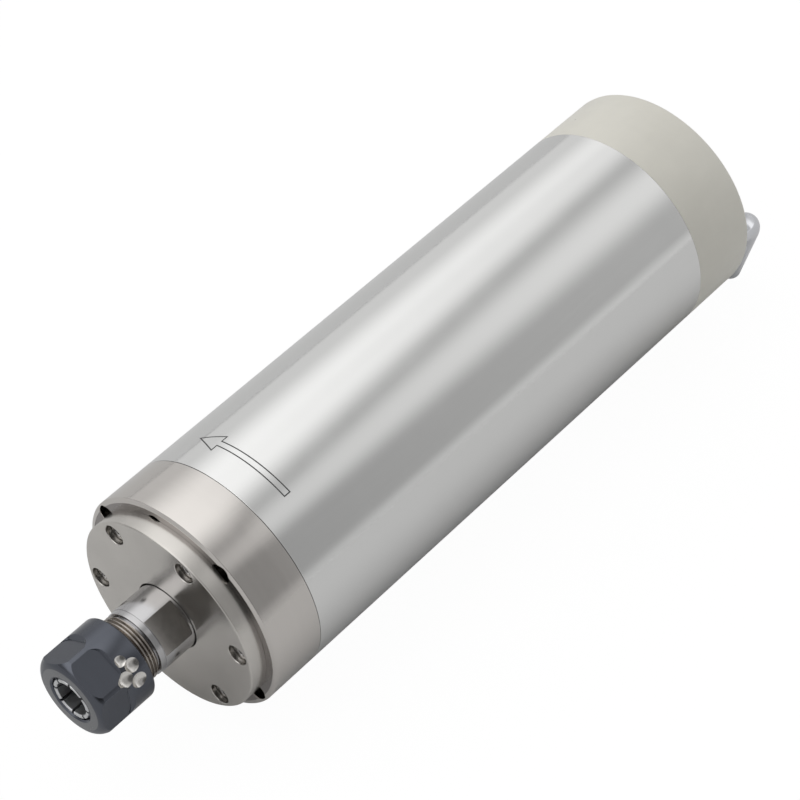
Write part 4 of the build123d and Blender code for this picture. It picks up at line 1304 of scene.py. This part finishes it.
@dataclass
class RearCap:
    """The moulded rear cap with its screws."""

    radius: float = 32.5
    front: float = 157.5
    end: float = 180.2
    wall: float = 6.0
    end_wall: float = 5.0
    edge: float = 1.5
    screw_angles: tuple[float, ...] = tuple(steps_round(45.0, 4))
    screw_circle: float = 29.1
    counterbore: float = 2.85
    screw_sink: float = 1.0
    screw_length: float = 25.0
    pipe_hole: float = 4.05
    connector_hole: float = 8.1

    def cap(self, pipes: Sequence[tuple[float, float]], connector: tuple[float, float]) -> Piece:
        """Build the cap.

        Args:
            pipes: x and z of the holes for the water pipes.
            connector: x and z of the hole for the connector.

        Returns:
            The cap.
        """
        corners = outline(
            (0.0, self.end - self.end_wall),
            (self.radius - self.wall, self.end - self.end_wall, 1.0),
            (self.radius - self.wall, self.front), (self.radius, self.front, 0.15),
            (self.radius, self.end, self.edge), (0.0, self.end),
        )
        piece = turned("moulded_rear_cap", corners, 256, finish=CAP_PLASTIC)
        head = Corner(self.counterbore, self.screw_sink + 3.0)
        shank = Corner(1.7, self.end - self.front + 1.0)
        for angle in self.screw_angles:
            where = polar(self.screw_circle, angle)
            worked(piece, screw_tool(where, self.end, -1.0, head, shank, 0.15))
        through = self.end_wall + 1.0
        for where in pipes:
            hole = Corner(self.pipe_hole, through)
            worked(piece, screw_tool(where, self.end, -1.0, hole, hole, 0.1))
        hole = Corner(self.connector_hole, through)
        worked(piece, screw_tool(connector, self.end, -1.0, hole, hole, 0.1))
        return finished(piece, CAP_PLASTIC, "rear_cap")

    def screws(self) -> Piece:
        """Build the cap's screws."""
        screw = SocketScrew(self.end - self.screw_sink, -1.0, self.screw_circle, self.screw_length)
        return screw.on_circle("rear_cap_screws", self.screw_angles, "cap_screws")


class Side(Enum):
    """The side that a water pipe stands on, seen from the nose with +Z up."""

    RIGHT = 1.0
    LEFT = -1.0


@dataclass
class WaterPipe:
    """A chromed pipe that comes out of the cap and bends down."""

    side: Side
    radius: float = 4.0
    wall: float = 1.5
    angle: float = -13.5
    foot_circle: float = 21.5
    foot: float = 152.5
    step_start: float = 162.5
    step_end: float = 167.5
    circle: float = 25.0
    step_bend: float = 4.0
    corner: float = 192.7
    corner_bend: float = 4.6
    arm: float = 24.0
    tilt: float = 13.0
    tip_edge: float = 0.4
    bend_step: float = 6.0

    @property
    def turn(self) -> float:
        """The pipe's angle about the spindle axis."""
        return self.angle if self.side is Side.RIGHT else 180.0 - self.angle

    @property
    def centre(self) -> tuple[float, float]:
        """x and z of the pipe where it leaves the cap."""
        return polar(self.circle, self.turn)

    def route(self) -> list[tuple[Vector, float]]:
        """Place the corners of the pipe's centre line.

        Returns:
            The corners, each with its bend radius.
        """
        low, high = polar(self.foot_circle, self.turn), self.centre
        tilt = math.radians(self.tilt)
        along = Vector((-self.side.value * math.sin(tilt), 0.0, -math.cos(tilt)))
        corner = Vector((high[0], self.corner, high[1]))
        return [
            (Vector((low[0], self.foot, low[1])), 0.0),
            (Vector((low[0], self.step_start, low[1])), self.step_bend),
            (Vector((high[0], self.step_end, high[1])), self.step_bend),
            (corner, self.corner_bend),
            (corner + along * self.arm, 0.0),
        ]

    def build(self) -> Piece:
        """Draw a ring along the route, give it a wall and break the tip's edge.

        Returns:
            The pipe.
        """
        route = self.route()
        bpy.ops.mesh.primitive_circle_add(
            vertices=64,
            radius=self.radius * MM,
            location=route[0][0] * MM,
            rotation=(math.pi / 2, 0.0, 0.0),
        )
        pipe = bpy.context.object
        pipe.name = f"bent_water_pipe_{self.side.name.lower()}"
        apply_place()
        with editing(pipe):
            bpy.ops.mesh.select_all(action="SELECT")
            here = route[0][0]
            for (corner, bend), (after, _) in pairwise(route[1:]):
                way = (corner - here).normalized()
                next_way = (after - corner).normalized()
                turn = way.angle(next_way)
                start = corner - way * bend * math.tan(turn / 2)
                self.draw_on(start - here)
                inward = (next_way - way * way.dot(next_way)).normalized()
                bpy.ops.mesh.spin(
                    steps=max(round(math.degrees(turn) / self.bend_step), 4),
                    angle=-turn,
                    center=(start + inward * bend) * MM,
                    axis=way.cross(next_way).normalized(),
                )
                here = corner + next_way * bend * math.tan(turn / 2)
            self.draw_on(route[-1][0] - here)
            face_outwards()
        modified(pipe, "SOLIDIFY", thickness=self.wall * MM, offset=-1.0, use_even_offset=True)
        tip, outside = route[-1][0] * MM, (self.radius - 0.05) * MM
        way = (route[-1][0] - route[-2][0]).normalized()

        def at_tip(start: Vector, end: Vector) -> bool:
            """Whether an edge is on the tip's outer rim."""
            arms = (start - tip, end - tip)
            return all(abs(arm.dot(way)) < MERGE and arm.length > outside for arm in arms)

        bevelled(pipe, self.tip_edge, 3, at_tip)
        return finished(pipe, CHROME, f"water_pipe_{self.side.name.lower()}")

    @staticmethod
    def draw_on(way: Vector) -> None:
        """Draw the selected ring straight on, by a way in millimetres."""
        bpy.ops.mesh.extrude_region_move(TRANSFORM_OT_translate={"value": way * MM})


@dataclass
class PipeNuts:
    """The hexagonal nuts that hold the water pipes in the cap."""

    width: float = 10.0
    start: float = 180.2
    length: float = 4.0
    hole: float = 4.02
    corner_edge: float = 0.35

    def build(self, pipes: Sequence[WaterPipe]) -> Piece:
        """Build the nuts.

        Args:
            pipes: the pipes that they go round.

        Returns:
            The nuts.
        """
        nuts = [self.nut(pipe) for pipe in pipes]
        piece = joined(nuts)
        piece.name = "pipe_lock_nuts"
        return finished(piece, CHROME, "pipe_nuts")

    def nut(self, pipe: WaterPipe) -> Piece:
        """Build the nut round one pipe.

        Args:
            pipe: the pipe.

        Returns:
            The nut.
        """
        end = self.start + self.length
        reach = self.width / 2 / math.cos(math.pi / 6)
        front, back = self.start - 0.3, end + 0.3
        bar = ring(0.0, reach, front, back)
        nut = turned("nut", bar, 6, finish=CHROME)
        low = self.width / 2 - 0.1
        crown = outline(
            (0.0, self.start), (low, self.start), (reach + 0.05, self.start + self.corner_edge),
            (reach + 0.05, end - self.corner_edge), (low, end), (0.0, end),
        )
        worked(nut, turned("crown", crown, 64), Cut.SHARED)
        hole = Corner(self.hole, self.length + 1.0)
        worked(nut, screw_tool((0.0, 0.0), self.start, 1.0, hole, hole, 0.0))
        centre = Vector((pipe.centre[0], 0.0, pipe.centre[1])) * MM
        return place(nut, Matrix.Translation(centre) @ about_axis(pipe.turn))


@dataclass
class Connector:
    """The round four-pin power connector."""

    centre: tuple[float, float] = (0.0, -8.0)
    inside: float = 172.2
    flange_start: float = 180.2
    flange_end: float = 182.2
    end: float = 192.2
    radius: float = 8.0
    core_radius: float = 7.38
    flange_radius: float = 10.5
    recess_radius: float = 6.6
    insert_end: float = 185.2
    thread: tuple[float, float] = (183.4, 191.6)
    pitch: float = 1.0
    key: tuple[float, float] = (1.6, 0.6)
    pin_radius: float = 1.0
    pin_circle: float = 3.3
    pin_start: float = 168.2
    pin_end: float = 190.7

    def shell(self) -> Piece:
        """Build the shell with its flange, coupling thread and key slot.

        Returns:
            The shell.
        """
        first, last = self.thread
        corners = outline(
            (0.0, self.inside), (self.radius, self.inside, 0.2), (self.radius, self.flange_start),
            (self.flange_radius, self.flange_start), (self.flange_radius, self.flange_end, 0.4),
            (self.radius, self.flange_end), (self.radius, first - 0.4), (self.core_radius, first),
            (self.core_radius, self.end - 0.3), (self.core_radius - 0.2, self.end),
            (0.0, self.end),
        )
        shell = turned("connector_body", corners, 128, self.centre, finish=CONNECTOR_METAL)
        crest = self.radius
        ends = (first - 0.7, last + 0.4)
        bar = threaded(crest, crest - 0.55, self.pitch, ends, CONNECTOR_METAL, self.centre)
        envelope = outline(
            (0.0, first - 0.6), (crest - 0.3, first - 0.6), (crest + 0.02, first + 0.1),
            (crest + 0.02, last - 0.5), (crest - 0.7, last + 0.1), (0.0, last + 0.1),
        )
        worked(bar, turned("envelope", envelope, 85, self.centre), Cut.SHARED)
        sleeve = ring(0.0, self.core_radius - 0.2, self.flange_end, self.end + 1.0)
        worked(bar, turned("sleeve", sleeve, 67, self.centre))
        bore = outline(
            (0.0, self.inside - 1.0), (self.recess_radius, self.inside - 1.0),
            (self.recess_radius, self.end - 0.3), (self.recess_radius + 1.3, self.end + 1.0),
            (0.0, self.end + 1.0),
        )
        worked(shell, turned("bore", bore, 101, self.centre))
        for part in (shell, bar):
            worked(part, self.key_mill())
        shell = joined([shell, bar])
        return finished(shell, CONNECTOR_METAL, "connector_shell")

    def key_mill(self) -> Piece:
        """Make the shape that mills the key slot.

        Returns:
            The cutting tool.
        """
        width, depth = self.key
        size = (width, 2 * (self.end - self.flange_end), 2 * depth)
        return block(size, (self.centre[0], self.end, self.centre[1] + self.radius))

    def pin_places(self) -> list[tuple[float, float]]:
        """x and z of each pin."""
        spots = (polar(self.pin_circle, angle) for angle in steps_round(45.0, 4))
        return [(self.centre[0] + x, self.centre[1] + z) for x, z in spots]

    def insert(self) -> Piece:
        """Build the insulating insert with its pin holes.

        Returns:
            The insert.
        """
        edge = self.recess_radius - 0.02
        corners = outline(
            (0.0, self.inside), (edge, self.inside, 0.3), (edge, self.insert_end, 0.3),
            (edge - 1.1, self.insert_end, 0.1), (edge - 1.3, self.insert_end - 0.4, 0.1),
            (0.0, self.insert_end - 0.4),
        )
        insert = turned("pin_insert", corners, 96, self.centre, finish=CONNECTOR_INSULATOR)
        through = Corner(self.pin_radius + 0.02, self.insert_end - self.inside + 2.0)
        mouth = Corner(self.pin_radius + 0.35, 0.8)
        for where in self.pin_places():
            worked(insert, screw_tool(where, self.insert_end, -1.0, mouth, through, 0.0))
        return finished(insert, CONNECTOR_INSULATOR, "connector_insert")

    def pins(self) -> Piece:
        """Build the pins, with rounded tips.

        Returns:
            The pins.
        """
        corners = outline(
            (0.0, self.pin_start), (self.pin_radius, self.pin_start, 0.1),
            (self.pin_radius, self.pin_end, 0.8), (0.0, self.pin_end),
        )
        pins = joined([turned("contact_pins", corners, 32, where) for where in self.pin_places()])
        return finished(pins, PIN_GOLD, "connector_pins", angle=40.0)


# Finishes of the parts inside, which show as they are


SLOT_FINISHES = {
    finish.name: finish
    for finish in (
        BODY_STEEL,
        NICKEL_STEEL,
        SHAFT_STEEL,
        COLLET_STEEL,
        BLACK_OXIDE,
        BLACK_STEEL,
        SCREW_STEEL,
        BEARING_STEEL,
        SPRING_STEEL,
        LAMINATION_STEEL,
        ALUMINIUM,
        CAST_ALUMINIUM,
        BRASS,
        WINDING_COPPER,
        PIN_GOLD,
        LEAD_INSULATION,
        SEAL_RUBBER,
        CAGE_RESIN,
        CAP_PLASTIC,
        CHROME,
        CONNECTOR_METAL,
        CONNECTOR_INSULATOR,
    )
}


def dress_inner_parts() -> None:
    """Give every part of the frame the finish of its slot."""
    slots = {part["node"]: part["material_slot"] for part in FRAME["record"]["subparts"]}
    for name, node in FRAME["nodes"].items():
        material = SLOT_FINISHES[slots[name]].material()
        for index in range(len(node.data.materials)):
            node.data.materials[index] = material
        LOG.info("%s: finish %s", name, material.name)


# The studio


@dataclass(frozen=True)
class Softbox:
    """A soft light along the spindle. Each pair holds its values at the front and at the rear.

    The angle is that of its middle about Y, and the reach is how far it shines to each side.
    """

    angle: tuple[float, float]
    reach: tuple[float, float]
    level: tuple[float, float]
    soft: float = 0.6


@dataclass(frozen=True)
class Zone:
    """A part of the tent, past a span of the way's y part: an even level and its softboxes."""

    span: tuple[float, float]
    base: tuple[float, float]
    lights: tuple[Softbox, ...]


@dataclass
class Studio:
    """A white light tent, a pale floor and the camera.

    The camera's turn is counted from the nose side towards +X, and its height from level.
    """

    floor_level: float = -32.55
    floor_size: float = 6.0
    floor_colour: Colour = (0.76, 0.76, 0.76)
    floor_white: float = 0.93
    white_level: float = 1.04
    plain_level: float = 0.62
    plain_span: tuple[float, float] = (0.82, 0.97)
    run: tuple[float, float] = (0.36, 0.58)
    zones: tuple[Zone, ...] = (
        Zone((-2.0, -1.0), (0.36, 0.36), (Softbox((120, 120), (45, 45), (0.95, 0.95), 0.6),)),
        Zone(
            (0.0, 0.38),
            (0.30, 0.45),
            (
                Softbox((0, 0), (12, 12), (0.2, 0.2), 1.0),
                Softbox((62, 70), (15, 35), (0.3, 0.35), 0.9),
                Softbox((115, 130), (50, 35), (0.85, 0.4), 0.8),
                Softbox((180, 180), (55, 55), (0.35, 0.25), 0.65),
            ),
        ),
        Zone((0.63, 0.72), (0.40, 0.40), (Softbox((0, 0), (150, 150), (0.65, 0.65), 0.75),)),
    )
    spot_way: tuple[float, float, float] = (0.70, -0.49, 0.52)
    spot_edge: tuple[float, float] = (0.82, 0.91)
    spot_level: float = 0.08
    camera_place: tuple[float, float, float] = (310.6, -288.4, 548.3)
    camera_turn: float = 41.132
    camera_height: float = 48.971
    lens: float = 121.586
    sensor: float = 36.0

    def build(self) -> None:
        """Set up the tent, the floor and the camera."""
        scene = bpy.context.scene
        scene.view_settings.view_transform = "Standard"
        self.tent(scene)
        self.floor()
        self.camera(scene)

    def tent(self, scene: bpy.types.Scene) -> None:
        """Build the light tent: plain white for the camera, soft bands for all else.

        Args:
            scene: the scene to light.
        """
        world = bpy.data.worlds.new("light_tent")
        world.use_nodes = True
        scene.world = world
        tree = world.node_tree
        tree.nodes.clear()
        way = put_node(tree, "TexCoord").outputs["Generated"]
        x, y, z = put_node(tree, "SeparateXYZ", {0: way}).outputs
        angle = math_node(tree, "DEGREES", math_node(tree, "ARCTAN2", z, x))
        level = 0.0
        for zone in self.zones:
            share = self.ranged(tree, y, zone.span, (0.0, 1.0), "SMOOTHSTEP")
            level = self.mixed(tree, level, self.zone_level(tree, angle, y, zone), share)
        aside = math_node(tree, "ABSOLUTE", y)
        level = self.blended(tree, level, self.plain_level, aside, self.plain_span)
        spot_way = Vector(self.spot_way).normalized()
        spot = put_node(tree, "VectorMath", {0: way, 1: spot_way}, operation="DOT_PRODUCT")
        level = self.blended(tree, level, self.spot_level, spot.outputs["Value"], self.spot_edge)
        white = (1.0, 1.0, 1.0, 1.0)
        tent, plain = (
            put_node(tree, "Background", {"Color": white, "Strength": strength}).outputs[0]
            for strength in (level, 1.0)
        )
        seen = put_node(tree, "LightPath").outputs["Is Camera Ray"]
        which = put_node(tree, "MixShader", {0: seen, 1: tent, 2: plain}).outputs[0]
        put_node(tree, "OutputWorld", {"Surface": which})

    def zone_level(self, tree: Tree, angle: Socket, along: Socket, zone: Zone) -> Socket:
        """Add up the light of a zone.

        Args:
            tree: the world's nodes.
            angle: the way's angle about Y, in degrees.
            along: the way's y part.
            zone: the zone.

        Returns:
            The light's level.
        """
        level = self.ranged(tree, along, self.run, zone.base)
        for light in zone.lights:
            middle, reach, strength = (
                self.ranged(tree, along, self.run, ends)
                for ends in (light.angle, light.reach, light.level)
            )
            off = math_node(tree, "ABSOLUTE", math_node(tree, "SUBTRACT", angle, middle))
            full = math_node(tree, "MULTIPLY", reach, 1.0 - light.soft)
            share = self.ranged(tree, off, (full, reach), (1.0, 0.0), "SMOOTHSTEP")
            level = math_node(tree, "MULTIPLY_ADD", share, strength, level)
        return level

    @staticmethod
    def ranged(
        tree: Tree,
        value: Socket,
        span: tuple[Socket | float, Socket | float],
        result: tuple[float, float],
        kind: str = "LINEAR",
    ) -> Socket:
        """Map a span to a result.

        Args:
            tree: the world's nodes.
            value: the value to read.
            span: where it starts and ends.
            result: what it becomes there.
            kind: how it runs between them.

        Returns:
            The mapped value.
        """
        names = ("Value", "From Min", "From Max", "To Min", "To Max")
        inputs = dict(zip(names, (value, *span, *result)))
        return put_node(tree, "MapRange", inputs, interpolation_type=kind).outputs["Result"]

    def blended(
        self, tree: Tree, level: Socket, other: float, value: Socket, span: tuple[float, float]
    ) -> Socket:
        """Blend the light to another level as a value runs over a span.

        Args:
            tree: the world's nodes.
            level: the light's level.
            other: the level to blend to.
            value: the value that decides.
            span: where the blend starts and ends.

        Returns:
            The blended level.
        """
        share = self.ranged(tree, value, span, (0.0, 1.0), "SMOOTHSTEP")
        return self.mixed(tree, level, other, share)

    @staticmethod
    def mixed(tree: Tree, first: Socket | float, second: Socket | float, share: Socket) -> Socket:
        """Mix two levels of light.

        Args:
            tree: the world's nodes.
            first: the level where the share is 0.
            second: the level where the share is 1.
            share: the share of the second one.

        Returns:
            The mixed level.
        """
        inputs = {0: share, 2: first, 3: second}
        return put_node(tree, "Mix", inputs, data_type="FLOAT").outputs[0]

    def floor(self) -> None:
        """Lay the floor: white where the camera sees it open, with the spindle's shadow."""
        level = self.floor_level * MM
        bpy.ops.mesh.primitive_plane_add(size=self.floor_size, location=(0.0, 0.08, level))
        floor = bpy.context.object
        floor.name = "studio_floor"
        material = bpy.data.materials.new("studio_floor")
        material.use_nodes = True
        tree = material.node_tree
        tree.nodes.clear()
        paper = put_node(tree, "BsdfDiffuse", {"Color": (*self.floor_colour, 1.0)}).outputs[0]
        white = put_node(tree, "Emission", {"Strength": self.white_level}).outputs[0]
        seen = put_node(tree, "LightPath").outputs["Is Camera Ray"]
        share = math_node(tree, "MULTIPLY", seen, self.floor_white)
        which = put_node(tree, "MixShader", {0: share, 1: paper, 2: white}).outputs[0]
        put_node(tree, "OutputMaterial", {"Surface": which})
        floor.data.materials.append(material)

    def camera(self, scene: bpy.types.Scene) -> None:
        """Stand the camera.

        Args:
            scene: the scene that it looks at.
        """
        data = bpy.data.cameras.new("camera")
        data.lens = self.lens
        data.sensor_width = self.sensor
        data.clip_start = 0.01
        data.clip_end = 20.0
        camera = bpy.data.objects.new("camera", data)
        scene.collection.objects.link(camera)
        place_at = Matrix.Translation(Vector(self.camera_place) * MM)
        turn = Matrix.Rotation(math.radians(self.camera_turn), 4, "Z")
        tilt = Matrix.Rotation(math.radians(90.0 - self.camera_height), 4, "X")
        camera.matrix_world = place_at @ turn @ tilt
        scene.camera = camera


def main() -> None:
    """Build every piece of the spindle, then the studio."""
    logging.basicConfig(level=logging.INFO, format="%(name)s %(message)s")
    dress_inner_parts()
    body = Body()
    body.tube()
    body.housing()
    body.cover()
    body.screws()
    body.arrow()
    Shaft().build()
    Collet().build()
    Nut().build()
    pipes = [WaterPipe(side) for side in Side]
    connector = Connector()
    cap = RearCap()
    cap.cap([pipe.centre for pipe in pipes], connector.centre)
    cap.screws()
    for pipe in pipes:
        pipe.build()
    PipeNuts().build(pipes)
    connector.shell()
    connector.insert()
    connector.pins()
    Studio().build()


if __name__ == "__main__":
    main()
